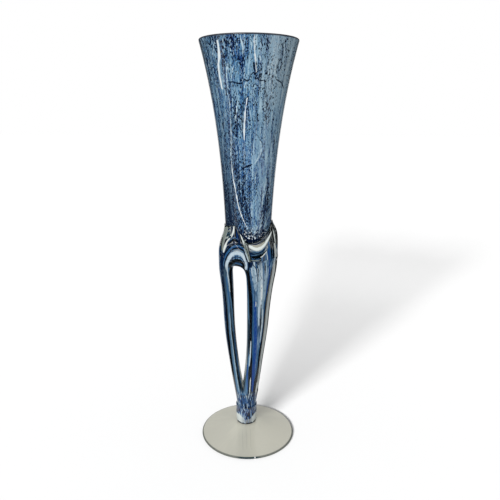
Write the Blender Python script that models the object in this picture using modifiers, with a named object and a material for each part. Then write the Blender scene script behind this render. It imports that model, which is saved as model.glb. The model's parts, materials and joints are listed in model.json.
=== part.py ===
# Tall art glass vase: a trumpet bowl held in a clear crown on three pierced legs,
# which run down into a clear button on a round foot.
# Metres, +Z up. The origin is the centre of the footprint, on the surface it stands on.

import math

import bpy

# Whole vase
VASE_HEIGHT = 0.450
SEAT_GAP = 0.0003  # clearance left wherever two pieces of glass meet

# Foot
FOOT_RADIUS = 0.0553
FOOT_EDGE_THICKNESS = 0.0026
FOOT_HEIGHT = 0.0165  # level top of the low cone, where the button stands
FOOT_PAD_MARGIN = 0.0013  # how far the level top reaches past the button
FOOT_MIDDLE_WALL = 0.0063  # solid glass between the level top and the hollow underneath
REST_RING_WIDTH = 0.0085  # ground ring that the vase stands on
PONTIL_RADIUS = 0.0085  # polished mark where the rod was cracked off
PONTIL_DEPTH = 0.0012

# Bowl
BOWL_CORNER_RADIUS = 0.0250  # where the round bottom turns into the side
BOWL_ROUND_DEPTH = 0.0220  # from that corner down to the bottom
BOWL_LOWER_FLARE = 0.0026  # how much wider than the corner, and the next two steer the side
BOWL_UPPER_FLARE = 0.0084
BOWL_RIM_FLARE = 0.0266
BOWL_RIM_WALL = 0.0030
BOWL_CORNER_WALL = 0.0036
BOWL_FLOOR = 0.0085

# Crown of clear glass round the bottom of the bowl
CROWN_WALL = 0.0082  # from the bowl's corner out to the crown's full width
CROWN_FLOOR = 0.0020  # from the top of the legs up to the bottom of the bowl
CROWN_COLLAR = 0.0010  # height of the straight part above the legs
CROWN_EDGE = 0.0007  # thickness where the clear glass runs out on the bowl
CROWN_BOSS_DEPTH = 0.0060  # drop of solid glass under the bowl
CROWN_BOSS_INSET = 0.0008
LEFT_SCOOP_RISE = 0.0340  # scoops and peaks are measured up from the top of the legs
FRONT_SCOOP_RISE = 0.0190
BACK_SCOOP_RISE = 0.0240
LEFT_PEAK_RISE = 0.0375  # between the left leg and the front leg
RIGHT_PEAK_RISE = 0.0405  # between the front leg and the back leg
REAR_PEAK_RISE = 0.0365  # between the back leg and the left leg

# Stem: a tube pierced into three legs, between the button and the crown
STEM_TOP_HEIGHT = 0.2260
STEM_TOP_RADIUS = BOWL_CORNER_RADIUS + CROWN_WALL
STEM_LEAN = 0.0015  # the foot end of the stem stands this far off centre, towards -X
ARCH_TOP_DROP = 0.0070  # from the top of the legs down to the arches
ARCH_RISE = 0.0180  # height of the round part of an arch
OPENING_HALF_WIDTH = 0.0094

# Button between the foot and the legs
BUTTON_FLOOR = 0.0053  # from the foot's level top up to the toes of the legs
BUTTON_WALL = 0.0028  # how far the bead stands out past the toes
BUTTON_NECK = 0.0008  # how far the bead is drawn in above the foot
BUTTON_HEIGHT = 0.0225  # up to where the clear glass runs out on the legs
BUTTON_LIP_WALL = 0.0009

# Bearings, in degrees, turned from the front (-Y) towards +X
LEFT_ARCH_BEARING = -25.0  # the arches, where neighbouring legs join
RIGHT_ARCH_BEARING = 77.0
REAR_ARCH_BEARING = 208.0
LEFT_SCOOP_BEARING = -82.0  # the crown's scoops and the peaks between them
LEFT_PEAK_BEARING = -31.0
FRONT_SCOOP_BEARING = 5.0
RIGHT_PEAK_BEARING = 80.0
BACK_SCOOP_BEARING = 142.0
REAR_PEAK_BEARING = 208.0

# Shape shares, which have no unit. The stem's radii are shares of its top radius,
# at shares of the way from the toes up to the crown.
STEM_STATION_SHARES = (0.0, 0.114, 0.295, 0.545, 0.800, 0.912, 1.0)
STEM_OUTER_SHARES = (0.292, 0.364, 0.554, 0.777, 0.892, 0.979, 1.0)
STEM_INNER_SHARES = (0.027, 0.042, 0.265, 0.476, 0.572, 0.620, 0.602)
OPENING_BOTTOM_SHARE = 0.197  # where two legs part, on the same way up
OPENING_TAPER_SHARE = 3.5  # how quickly an opening reaches its full width above the V
ARCH_SQUARENESS_SHARE = 2.8  # 2 makes the arch a half ellipse, more makes it squarer
CONE_HOLLOW_SHARE = 1.15  # above 1 the foot's cone is hollow-cheeked
LEFT_FULLNESS_SHARE = 1.2  # how long the crown's shoulder stays full before it falls to the bowl
LEFT_PEAK_FULLNESS_SHARE = 1.5
FRONT_FULLNESS_SHARE = 1.4
RIGHT_PEAK_FULLNESS_SHARE = 3.2
BACK_FULLNESS_SHARE = 1.4
REAR_PEAK_FULLNESS_SHARE = 1.8
SCOOP_POWER_SHARE = 1.6  # above 1 the scoops are round and the peaks between them pointed
DISH_SHARE = 0.75  # depth of the polished mark half way out, as a share of its middle depth

# Facet counts, and how the rows and columns of a loft are spread
TURN_STEPS = 56
BUTTON_STEPS = 40
CROWN_STEPS = 56
CONE_ROWS = 4
HOLLOW_ROWS = 4
SOCKET_ROWS = 4
BUTTON_ROWS = 6
BOWL_ROWS = 13
ROUND_BOTTOM_ROWS = 5
SHOULDER_ROWS = 7
SEAT_UPPER_ROWS = 5
SEAT_LOWER_ROWS = 5
EDGE_STEPS = 80
COLUMN_SHARES = (0.0, 0.34, 0.6, 0.78, 0.9, 0.97, 1.0)
BELOW_ROW_SHARES = (1.0, 0.5, 0.25, 0.12, 0.05, 0.015)
OPENING_ROW_SHARES = (0.0, 0.02, 0.05, 0.1, 0.16, 0.24, 0.33, 0.45, 0.58, 0.72, 0.87)
ARCH_ROW_SHARES = (0.0, 0.2, 0.4, 0.58, 0.74, 0.86, 0.95, 1.0)
ABOVE_ROW_SHARES = (0.04, 0.14, 0.3, 0.55, 1.0)
FOOT_EDGE_TURNS = (40, 0, -40)  # degrees round the foot's edge, the rim and the boss
RIM_TURNS = (135, 90, 45)
BOSS_TURNS = (30, 60, 90)
SHARED_SEAT_TURN = 30  # degrees below the bowl's corner, from where the seat's rows are level
SHARP_EDGE_ANGLE = 55

# Heights and radii that follow from the sizes above
FOOT_HOLLOW_HEIGHT = FOOT_HEIGHT - FOOT_MIDDLE_WALL - PONTIL_DEPTH
TOE_HEIGHT = FOOT_HEIGHT + BUTTON_FLOOR
BUTTON_LIP_HEIGHT = FOOT_HEIGHT + BUTTON_HEIGHT
BUTTON_RADIUS = STEM_TOP_RADIUS * STEM_OUTER_SHARES[0] + BUTTON_WALL
FOOT_PAD_RADIUS = BUTTON_RADIUS + FOOT_PAD_MARGIN
ARCH_TOP_HEIGHT = STEM_TOP_HEIGHT - ARCH_TOP_DROP
ARCH_SPRING_HEIGHT = ARCH_TOP_HEIGHT - ARCH_RISE
OPENING_BOTTOM = TOE_HEIGHT + (STEM_TOP_HEIGHT - TOE_HEIGHT) * OPENING_BOTTOM_SHARE
BOWL_BOTTOM = STEM_TOP_HEIGHT + CROWN_FLOOR
BOWL_CORNER_HEIGHT = BOWL_BOTTOM + BOWL_ROUND_DEPTH
CROWN_SHOULDER_START = STEM_TOP_HEIGHT + CROWN_COLLAR

MERGE_DISTANCE = 0.00001
COLLECTION_NAME = "art_glass_vase"


def clear_scene():
    for old_object in list(bpy.data.objects):
        bpy.data.objects.remove(old_object, do_unlink=True)


def make_collection(name):
    collection = bpy.data.collections.new(name)
    bpy.context.scene.collection.children.link(collection)
    return collection


def glass_material(name, colour, roughness, clearness):
    material = bpy.data.materials.new(name)
    material.use_nodes = True
    shader = material.node_tree.nodes["Principled BSDF"]
    shader.inputs["Base Color"].default_value = (*colour, 1.0)
    shader.inputs["Roughness"].default_value = roughness
    shader.inputs["Metallic"].default_value = 0.0
    shader.inputs["Transmission Weight"].default_value = clearness
    material.diffuse_color = (*colour, 1.0)
    return material


def place_mesh(name, mesh, material, collection):
    mesh.materials.append(material)
    mesh.shade_smooth()
    mesh.set_sharp_from_angle(angle=math.radians(SHARP_EDGE_ANGLE))
    collection.objects.link(bpy.data.objects.new(name, mesh))


def turned_piece(name, profile, steps, material, collection):
    """Turn a profile about Z. It starts and ends on the axis and comes down its outer side."""
    mesh = bpy.data.meshes.new(name)
    vertices = [(radius, 0.0, height) for radius, height in profile]
    edges = [(index, index + 1) for index in range(len(profile) - 1)]
    mesh.from_pydata(vertices, edges, [])
    mesh.materials.append(material)
    piece = bpy.data.objects.new(name, mesh)
    collection.objects.link(piece)
    turn = piece.modifiers.new("Turn", "SCREW")
    turn.axis = "Z"
    turn.steps = steps
    turn.render_steps = steps
    turn.use_merge_vertices = True
    turn.merge_threshold = MERGE_DISTANCE
    turn.use_smooth_shade = True
    return piece


def loft_mesh(name, vertices, faces):
    mesh = bpy.data.meshes.new(name)
    mesh.from_pydata(vertices, [], faces)
    mesh.validate()
    return mesh


def smooth_between(stations, values, place):
    """Cubic curve through the values at the stations, held level past both ends."""
    if place <= stations[0]:
        return values[0]
    if place >= stations[-1]:
        return values[-1]
    upper = next(index for index, station in enumerate(stations) if station >= place)
    lower = upper - 1
    span = stations[upper] - stations[lower]
    share = (place - stations[lower]) / span

    def slope(index):
        before = max(index - 1, 0)
        after = min(index + 1, len(stations) - 1)
        return (values[after] - values[before]) / (stations[after] - stations[before])

    start_bend = (share - 2 * share**2 + share**3) * span * slope(lower)
    end_bend = (share**3 - share**2) * span * slope(upper)
    blend = 3 * share**2 - 2 * share**3
    return values[lower] * (1 - blend) + values[upper] * blend + start_bend + end_bend


def way_up_stem(height):
    """Share of the way from the toes of the legs up to the crown."""
    return (height - TOE_HEIGHT) / (STEM_TOP_HEIGHT - TOE_HEIGHT)


def lean_at(height):
    """How far the stem's middle lies off the Z axis: nothing at the crown, most at the foot."""
    return -STEM_LEAN * (1 - min(max(way_up_stem(height), 0.0), 1.0))


def stem_outer_radius(height):
    return STEM_TOP_RADIUS * smooth_between(STEM_STATION_SHARES, STEM_OUTER_SHARES, way_up_stem(height))


def stem_inner_radius(height):
    return STEM_TOP_RADIUS * smooth_between(STEM_STATION_SHARES, STEM_INNER_SHARES, way_up_stem(height))


# Foot


def foot_profile():
    edge_round = FOOT_EDGE_THICKNESS / 2
    edge_middle = FOOT_RADIUS - edge_round
    pad_height = FOOT_HEIGHT - SEAT_GAP
    profile = [(0.0, pad_height), (FOOT_PAD_RADIUS, pad_height)]
    for row in range(1, CONE_ROWS + 1):
        share = row / CONE_ROWS
        radius = FOOT_PAD_RADIUS + (edge_middle - FOOT_PAD_RADIUS) * share
        drop_share = 1 - (1 - share) ** CONE_HOLLOW_SHARE
        height = pad_height - (pad_height - FOOT_EDGE_THICKNESS) * drop_share
        profile.append((radius, height))
    for turn_degrees in FOOT_EDGE_TURNS:
        turn = math.radians(turn_degrees)
        radius = edge_middle + edge_round * math.cos(turn)
        profile.append((radius, edge_round + edge_round * math.sin(turn)))
    profile.append((edge_middle, 0.0))
    ring_inside = edge_middle - REST_RING_WIDTH
    profile.append((ring_inside, 0.0))
    for row in range(1, HOLLOW_ROWS + 1):
        share = row / HOLLOW_ROWS
        radius = ring_inside - (ring_inside - PONTIL_RADIUS) * share
        profile.append((radius, FOOT_HOLLOW_HEIGHT * math.sin(share * math.pi / 2)))
    profile.append((PONTIL_RADIUS / 2, FOOT_HOLLOW_HEIGHT + PONTIL_DEPTH * DISH_SHARE))
    profile.append((0.0, FOOT_HOLLOW_HEIGHT + PONTIL_DEPTH))
    return profile


def make_foot(collection):
    """Low cone of clear glass with a round edge, a ground rest ring and a hollow underneath."""
    material = glass_material("foot_clear", (0.75, 0.76, 0.70), 0.15, 0.9)
    turned_piece("foot", foot_profile(), TURN_STEPS, material, collection)


# Button


def button_profile():
    """Solid bead at the bottom, then a socket whose thin wall runs out on the legs."""
    socket_floor = TOE_HEIGHT - SEAT_GAP
    profile = [(0.0, socket_floor)]
    for row in range(SOCKET_ROWS + 1):
        height = socket_floor + (BUTTON_LIP_HEIGHT - socket_floor) * row / SOCKET_ROWS
        profile.append((stem_outer_radius(height) + SEAT_GAP, height))
    lip_radius = profile[-1][0] + BUTTON_LIP_WALL
    profile.append((lip_radius, BUTTON_LIP_HEIGHT - BUTTON_LIP_WALL))
    bottom_radius = BUTTON_RADIUS - BUTTON_NECK
    for row in range(1, BUTTON_ROWS + 1):
        share = row / BUTTON_ROWS
        height = BUTTON_LIP_HEIGHT - (BUTTON_LIP_HEIGHT - FOOT_HEIGHT) * share
        swell = math.sin(share * math.pi) ** 2
        straight = lip_radius + (bottom_radius - lip_radius) * share
        profile.append((straight + (BUTTON_RADIUS - straight) * swell, height))
    profile.append((0.0, FOOT_HEIGHT))
    return profile


def make_button(collection):
    """Clear bead between the legs and the foot, with the legs' ends sunk in its socket."""
    material = glass_material("button_clear", (0.80, 0.82, 0.80), 0.05, 0.9)
    button = turned_piece("button", button_profile(), BUTTON_STEPS, material, collection)
    button.location.x = lean_at(TOE_HEIGHT)


# Legs


def opening_half_width(height):
    """Half an opening's width at a height: a teardrop with a V bottom and a square arch."""
    if height <= OPENING_BOTTOM or height >= ARCH_TOP_HEIGHT:
        return 0.0
    climb = min((height - OPENING_BOTTOM) / (ARCH_SPRING_HEIGHT - OPENING_BOTTOM), 1.0)
    spread = 1 - (1 - climb) ** OPENING_TAPER_SHARE
    rise = max(height - ARCH_SPRING_HEIGHT, 0.0) / (ARCH_TOP_HEIGHT - ARCH_SPRING_HEIGHT)
    arch = (1 - rise**ARCH_SQUARENESS_SHARE) ** (1 / ARCH_SQUARENESS_SHARE)
    return OPENING_HALF_WIDTH * spread * arch


def leg_reach(seam_angle, height):
    """Angle from a leg's middle to its edge on one side. The seam angle is its most."""
    middle = (stem_outer_radius(height) + stem_inner_radius(height)) / 2
    return seam_angle - math.asin(min(opening_half_width(height) / middle, 1.0))


def leg_heights():
    """Rows of a leg's loft, closest together round both ends of the openings."""
    below = OPENING_BOTTOM - TOE_HEIGHT
    beside = ARCH_SPRING_HEIGHT - OPENING_BOTTOM
    arch = ARCH_TOP_HEIGHT - ARCH_SPRING_HEIGHT
    above = STEM_TOP_HEIGHT - ARCH_TOP_HEIGHT
    rows = [OPENING_BOTTOM - below * share for share in BELOW_ROW_SHARES]
    rows += [OPENING_BOTTOM + beside * share for share in OPENING_ROW_SHARES]
    rows += [ARCH_SPRING_HEIGHT + arch * math.sin(math.pi / 2 * share) for share in ARCH_ROW_SHARES]
    rows += [ARCH_TOP_HEIGHT + above * share for share in ABOVE_ROW_SHARES]
    return rows


def edge_path():
    """The free edge of one side of a leg, laid flat: (distance round from the seam, height)."""
    path = []
    for step in range(EDGE_STEPS + 1):
        share = math.sin(math.pi / 2 * step / EDGE_STEPS)
        height = OPENING_BOTTOM + (ARCH_TOP_HEIGHT - OPENING_BOTTOM) * share
        path.append((opening_half_width(height), height))
    return path


def distance_to_path(across, height, path):
    best = None
    for (start_x, start_z), (end_x, end_z) in zip(path, path[1:]):
        step_x = end_x - start_x
        step_z = end_z - start_z
        length_squared = step_x**2 + step_z**2
        along = ((across - start_x) * step_x + (height - start_z) * step_z) / length_squared
        along = min(max(along, 0.0), 1.0)
        gap = math.hypot(across - start_x - along * step_x, height - start_z - along * step_z)
        best = gap if best is None else min(best, gap)
    return best


def leg_point(bearing, seam_angle, share, height, radius):
    """A point on a leg. Its seam side lies half a gap short of the plane between two legs."""
    reach = leg_reach(seam_angle, height)
    limit = seam_angle - math.asin(min(SEAT_GAP / 2 / radius, 1.0))
    turned = bearing + math.copysign(abs(share) * min(reach, limit), share)
    return (radius * math.sin(turned) + lean_at(height), -radius * math.cos(turned), height)


def leg_rows(bearing, seam_angle):
    """Points of a leg, row by row: the outer side and the inner side, which share free edges."""
    shares = [-share for share in reversed(COLUMN_SHARES[1:])] + list(COLUMN_SHARES)
    path = edge_path()
    vertices = []
    outer = []
    inner = []
    for height in leg_heights():
        middle = (stem_outer_radius(height) + stem_inner_radius(height)) / 2
        half_wall = (stem_outer_radius(height) - stem_inner_radius(height)) / 2
        outer_row = []
        inner_row = []
        for share in shares:
            from_seam = seam_angle - abs(share) * leg_reach(seam_angle, height)
            depth_share = min(distance_to_path(from_seam * middle, height, path) / half_wall, 1.0)
            half_here = half_wall * math.sqrt(1 - (1 - depth_share) ** 2)
            on_free_edge = abs(share) == 1 and OPENING_BOTTOM <= height <= ARCH_TOP_HEIGHT
            if on_free_edge:
                half_here = 0.0
            outer_row.append(len(vertices))
            vertices.append(leg_point(bearing, seam_angle, share, height, middle + half_here))
            if not on_free_edge:
                vertices.append(leg_point(bearing, seam_angle, share, height, middle - half_here))
            inner_row.append(len(vertices) - 1)
        outer.append(outer_row)
        inner.append(inner_row)
    return vertices, outer, inner


def leg_faces(outer, inner):
    faces = []
    for row in range(len(outer) - 1):
        for column in range(len(outer[row]) - 1):
            faces.append((outer[row][column], outer[row][column + 1],
                          outer[row + 1][column + 1], outer[row + 1][column]))
            faces.append((inner[row][column + 1], inner[row][column],
                          inner[row + 1][column], inner[row + 1][column + 1]))
        faces.append((inner[row][0], outer[row][0], outer[row + 1][0], inner[row + 1][0]))
        faces.append((outer[row][-1], inner[row][-1], inner[row + 1][-1], outer[row + 1][-1]))
    faces.append(tuple(reversed(outer[0])) + tuple(inner[0]))
    faces.append(tuple(outer[-1]) + tuple(reversed(inner[-1])))
    return tidy_faces(faces)


def tidy_faces(faces):
    """Drop repeated corners, where the outer and inner sides share an edge point."""
    tidy = []
    for face in faces:
        corners = list(dict.fromkeys(face))
        if len(corners) >= 3:
            tidy.append(tuple(corners))
    return tidy


def make_leg(name, left_arch_bearing, right_arch_bearing, material, collection):
    """A slice of the pierced tube between two arches, with its free edges rolled round."""
    seam_angle = math.radians((right_arch_bearing - left_arch_bearing) % 360) / 2
    bearing = math.radians(left_arch_bearing) + seam_angle
    vertices, outer, inner = leg_rows(bearing, seam_angle)
    place_mesh(name, loft_mesh(name, vertices, leg_faces(outer, inner)), material, collection)


def make_legs(collection):
    """Three unevenly spaced legs, fused only below the openings and over the arches."""
    material = glass_material("legs_blue", (0.10, 0.16, 0.30), 0.06, 0.3)
    make_leg("left_leg", REAR_ARCH_BEARING, LEFT_ARCH_BEARING, material, collection)
    make_leg("front_leg", LEFT_ARCH_BEARING, RIGHT_ARCH_BEARING, material, collection)
    make_leg("back_leg", RIGHT_ARCH_BEARING, REAR_ARCH_BEARING, material, collection)


# Bowl


def bowl_outer_radius(height):
    """Half the bowl's outside width: a round bottom, then a side that flares to the rim."""
    if height <= BOWL_CORNER_HEIGHT:
        depth = (BOWL_CORNER_HEIGHT - height) / (BOWL_CORNER_HEIGHT - BOWL_BOTTOM)
        return BOWL_CORNER_RADIUS * math.sqrt(max(0.0, 1 - depth**2))
    share = (height - BOWL_CORNER_HEIGHT) / (VASE_HEIGHT - BOWL_CORNER_HEIGHT)
    rest = 1 - share
    lower_part = 3 * rest**2 * share * BOWL_LOWER_FLARE
    upper_part = 3 * rest * share**2 * BOWL_UPPER_FLARE + share**3 * BOWL_RIM_FLARE
    return BOWL_CORNER_RADIUS + lower_part + upper_part


def round_bottom(radius, corner_height, bottom_height):
    """Quarter ellipse from below the corner down to the axis."""
    points = []
    for row in range(1, ROUND_BOTTOM_ROWS + 1):
        turn = math.pi / 2 * row / ROUND_BOTTOM_ROWS
        height = corner_height - (corner_height - bottom_height) * math.sin(turn)
        points.append((radius * math.cos(turn) if row < ROUND_BOTTOM_ROWS else 0.0, height))
    return points


def bowl_profile():
    """Up the inside from the axis, over the rim and down the outside to the axis."""
    rim_round = BOWL_RIM_WALL / 2
    side_top = VASE_HEIGHT - rim_round
    outer = []
    inner = []
    for row in range(BOWL_ROWS + 1):
        share = 1 - row / BOWL_ROWS
        height = BOWL_CORNER_HEIGHT + (side_top - BOWL_CORNER_HEIGHT) * share
        wall = BOWL_CORNER_WALL + (BOWL_RIM_WALL - BOWL_CORNER_WALL) * share
        outer.append((bowl_outer_radius(height), height))
        inner.append((bowl_outer_radius(height) - wall, height))
    outer += round_bottom(BOWL_CORNER_RADIUS, BOWL_CORNER_HEIGHT, BOWL_BOTTOM)
    inner += round_bottom(BOWL_CORNER_RADIUS - BOWL_CORNER_WALL, BOWL_CORNER_HEIGHT, BOWL_BOTTOM + BOWL_FLOOR)
    rim = []
    for turn_degrees in RIM_TURNS:
        turn = math.radians(turn_degrees)
        rim_middle = outer[0][0] - rim_round
        rim.append((rim_middle + rim_round * math.cos(turn), side_top + rim_round * math.sin(turn)))
    return list(reversed(inner)) + rim + outer


def make_bowl(collection):
    """The blown cup: one wall, heaviest at its round bottom, with a fire-polished rim."""
    material = glass_material("bowl_blue", (0.13, 0.24, 0.42), 0.12, 0.0)
    turned_piece("bowl", bowl_profile(), TURN_STEPS, material, collection)


# Crown


def crown_stations():
    """Bearing, rise and fullness of the crown's scoops and peaks, round from the left scoop."""
    return (
        (LEFT_SCOOP_BEARING, LEFT_SCOOP_RISE, LEFT_FULLNESS_SHARE),
        (LEFT_PEAK_BEARING, LEFT_PEAK_RISE, LEFT_PEAK_FULLNESS_SHARE),
        (FRONT_SCOOP_BEARING, FRONT_SCOOP_RISE, FRONT_FULLNESS_SHARE),
        (RIGHT_PEAK_BEARING, RIGHT_PEAK_RISE, RIGHT_PEAK_FULLNESS_SHARE),
        (BACK_SCOOP_BEARING, BACK_SCOOP_RISE, BACK_FULLNESS_SHARE),
        (REAR_PEAK_BEARING, REAR_PEAK_RISE, REAR_PEAK_FULLNESS_SHARE),
        (LEFT_SCOOP_BEARING + 360, LEFT_SCOOP_RISE, LEFT_FULLNESS_SHARE),
    )


def crown_at(bearing):
    """Top height and fullness of the crown at a bearing between the left scoop's and one turn on."""
    stations = crown_stations()
    for index in range(len(stations) - 1):
        start = stations[index]
        end = stations[index + 1]
        if start[0] <= bearing <= end[0]:
            from_scoop = index % 2 == 0
            scoop, peak = (start, end) if from_scoop else (end, start)
            share = abs(bearing - scoop[0]) / abs(peak[0] - scoop[0])
            climb = share**SCOOP_POWER_SHARE
            rise = scoop[1] + (peak[1] - scoop[1]) * climb
            fullness = scoop[2] + (peak[2] - scoop[2]) * climb
            return STEM_TOP_HEIGHT + rise, fullness
    return STEM_TOP_HEIGHT + stations[0][1], stations[0][2]


def crown_loop(bearing):
    """Section of the crown at a bearing: (radius, height) from its underside round to the seat."""
    top, fullness = crown_at(bearing)
    underside = STEM_TOP_HEIGHT + SEAT_GAP
    outside_radius = STEM_TOP_RADIUS
    boss_radius = stem_inner_radius(STEM_TOP_HEIGHT) - CROWN_BOSS_INSET
    loop = []
    for turn_degrees in BOSS_TURNS:
        turn = math.radians(turn_degrees)
        drop = CROWN_BOSS_DEPTH * math.cos(turn)
        loop.append((boss_radius * math.sin(turn), underside - drop))
    loop.append((outside_radius, underside))
    edge_radius = bowl_outer_radius(top) + SEAT_GAP + CROWN_EDGE
    for row in range(SHOULDER_ROWS + 1):
        share = row / SHOULDER_ROWS
        height = CROWN_SHOULDER_START + (top - CROWN_SHOULDER_START) * share
        fall = (1 - math.cos(math.pi * share**fullness)) / 2
        loop.append((outside_radius - (outside_radius - edge_radius) * fall, height))
    return loop + seat_path(top - CROWN_EDGE / 2)


def seat_path(seat_top):
    """Inside of the crown down to the axis: the bowl's outside and the clearance."""
    bottom_depth = BOWL_CORNER_HEIGHT - BOWL_BOTTOM + SEAT_GAP
    corner_radius = BOWL_CORNER_RADIUS + SEAT_GAP
    side_length = max(seat_top - BOWL_CORNER_HEIGHT, 0.0)
    start_turn = math.asin(max(BOWL_CORNER_HEIGHT - seat_top, 0.0) / bottom_depth)
    shared_turn = math.radians(SHARED_SEAT_TURN)
    upper_length = side_length + (shared_turn - start_turn) * corner_radius
    path = []
    turns = []
    for row in range(SEAT_UPPER_ROWS):
        travelled = upper_length * row / SEAT_UPPER_ROWS
        if travelled < side_length:
            height = seat_top - travelled
            path.append((bowl_outer_radius(height) + SEAT_GAP, height))
        else:
            turns.append(start_turn + (travelled - side_length) / corner_radius)
    for row in range(SEAT_LOWER_ROWS):
        turns.append(shared_turn + (math.pi / 2 - shared_turn) * row / SEAT_LOWER_ROWS)
    for turn in turns:
        path.append((corner_radius * math.cos(turn), BOWL_CORNER_HEIGHT - bottom_depth * math.sin(turn)))
    return path


def make_crown(collection):
    """Clear cup round the bowl's bottom, drawn up into three peaks with scoops between them."""
    vertices = []
    rings = []
    for step in range(CROWN_STEPS):
        bearing = LEFT_SCOOP_BEARING + 360 * step / CROWN_STEPS
        turned = math.radians(bearing)
        ring = []
        for radius, height in crown_loop(bearing):
            ring.append(len(vertices))
            vertices.append((radius * math.sin(turned), -radius * math.cos(turned), height))
        rings.append(ring)
    bottom_pole = len(vertices)
    vertices.append((0.0, 0.0, STEM_TOP_HEIGHT + SEAT_GAP - CROWN_BOSS_DEPTH))
    seat_pole = len(vertices)
    vertices.append((0.0, 0.0, BOWL_BOTTOM - SEAT_GAP))
    faces = []
    for step in range(CROWN_STEPS):
        ring = rings[step]
        following = rings[(step + 1) % CROWN_STEPS]
        faces.append((bottom_pole, following[0], ring[0]))
        for index in range(len(ring) - 1):
            faces.append((ring[index], following[index], following[index + 1], ring[index + 1]))
        faces.append((ring[-1], following[-1], seat_pole))
    material = glass_material("crown_clear", (0.78, 0.80, 0.76), 0.04, 0.9)
    place_mesh("crown", loft_mesh("crown", vertices, faces), material, collection)


def main():
    clear_scene()
    collection = make_collection(COLLECTION_NAME)
    make_foot(collection)
    make_button(collection)
    make_legs(collection)
    make_crown(collection)
    make_bowl(collection)


main()
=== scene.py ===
import json
import math
from types import SimpleNamespace

import bpy
import numpy as np
from mathutils import Matrix, Vector

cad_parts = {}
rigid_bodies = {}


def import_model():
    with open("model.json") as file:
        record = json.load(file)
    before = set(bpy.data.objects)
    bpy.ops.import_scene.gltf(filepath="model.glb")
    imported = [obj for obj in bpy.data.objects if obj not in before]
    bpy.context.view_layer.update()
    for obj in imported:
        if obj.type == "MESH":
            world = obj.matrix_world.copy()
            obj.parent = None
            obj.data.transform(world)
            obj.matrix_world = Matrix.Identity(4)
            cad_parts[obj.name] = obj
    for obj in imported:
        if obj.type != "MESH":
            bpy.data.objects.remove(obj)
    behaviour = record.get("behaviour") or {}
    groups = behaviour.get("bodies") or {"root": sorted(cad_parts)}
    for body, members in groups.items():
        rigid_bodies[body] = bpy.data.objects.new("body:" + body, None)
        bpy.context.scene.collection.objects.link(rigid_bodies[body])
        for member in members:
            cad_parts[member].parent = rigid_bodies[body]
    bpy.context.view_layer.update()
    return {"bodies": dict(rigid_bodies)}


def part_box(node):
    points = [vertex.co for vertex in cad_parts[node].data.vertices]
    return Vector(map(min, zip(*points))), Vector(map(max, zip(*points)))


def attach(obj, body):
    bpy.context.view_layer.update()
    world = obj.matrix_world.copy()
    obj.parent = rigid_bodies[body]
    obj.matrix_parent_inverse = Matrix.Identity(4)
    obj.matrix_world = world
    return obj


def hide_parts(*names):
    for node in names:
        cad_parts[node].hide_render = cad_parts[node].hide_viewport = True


# Art glass vase: mottled blue trumpet bowl in a clear crown, on three pierced streaky legs,
# with a clear button and a clear foot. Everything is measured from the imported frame.
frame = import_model()
body = list(frame["bodies"])[0]

bowlLow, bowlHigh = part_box("bowl")
crownLow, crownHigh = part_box("crown")
legLow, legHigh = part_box("front_leg")
buttonLow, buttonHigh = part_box("button")
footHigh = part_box("foot")[1]

vaseHeight = 450.0  # in mm, as drawn, so every size below scales with the frame
mm = bowlHigh.z / vaseHeight
toeHeight = legLow.z
stemTop = legHigh.z
stemTopRadius = crownHigh.x
rimRadius = bowlHigh.x
footRadius = footHigh.x
seatGap = 0.3 * mm


# Node trees: a Flow is the value of a socket, and sums written with it become Math nodes

class Flow:
    def __init__(self, socket):
        self.socket = socket

    def __add__(self, other):
        return maths("ADD", self, other)

    def __sub__(self, other):
        return maths("SUBTRACT", self, other)

    def __rsub__(self, other):
        return maths("SUBTRACT", other, self)

    def __mul__(self, other):
        return maths("MULTIPLY", self, other)

    def __truediv__(self, other):
        return maths("DIVIDE", self, other)


def feed(socket, value):
    if isinstance(value, Flow):
        socket.id_data.links.new(value.socket, socket)
    else:
        socket.default_value = (*value, 1.0) if socket.type == "RGBA" else value


def fill(node, values):
    for name, value in values.items():
        feed(node.inputs[name], value)
    return node


def nodeFor(kind, *values):
    # a new node in the tree that the values flow through
    return next(value for value in values if isinstance(value, Flow)).socket.id_data.nodes.new(kind)


def maths(operation, *values):
    node = nodeFor("ShaderNodeMath", *values)
    node.operation = operation
    return Flow(fill(node, dict(enumerate(values))).outputs[0])


def rangeTo(value, low, high, toLow=0.0, toHigh=1.0, kind="SMOOTHSTEP"):
    node = nodeFor("ShaderNodeMapRange", value)
    node.interpolation_type = kind
    fill(node, {"Value": value, "From Min": low, "From Max": high, "To Min": toLow, "To Max": toHigh})
    return Flow(node.outputs["Result"])


def noiseAt(vector, detail=2.0, roughness=0.5, twist=0.0, scale=1.0):
    node = nodeFor("ShaderNodeTexNoise", vector)
    fill(node, {"Vector": vector, "Scale": scale, "Detail": detail, "Roughness": roughness,
                "Distortion": twist})
    return Flow(node.outputs["Fac"])


def blendColour(share, first, second):
    node = nodeFor("ShaderNodeMix", share, first, second)
    node.data_type = "RGBA"
    return Flow(fill(node, {0: share, 6: first, 7: second}).outputs[2])


def colourSteps(value, tones, stops):
    # stops: (place, name of a tone)
    node = nodeFor("ShaderNodeValToRGB", value)
    elements = node.color_ramp.elements
    for place, tone in stops[2:]:
        elements.new(place)
    for element, (place, tone) in zip(elements, stops):
        element.position = place
        element.color = (*tones[tone], 1.0)
    return Flow(fill(node, {"Fac": value}).outputs["Color"])


def curveThrough(value, points, corners=False):
    # float curve through (place, height) points, both from 0 to 1
    node = nodeFor("ShaderNodeFloatCurve", value)
    curve = node.mapping.curves[0]
    for place, height in points[2:]:
        curve.points.new(place, height)
    for point, (place, height) in zip(curve.points, points):
        point.location = (place, height)
        point.handle_type = "VECTOR" if corners else "AUTO"
    node.mapping.update()
    return Flow(fill(node, {"Value": value}).outputs["Value"])


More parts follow.
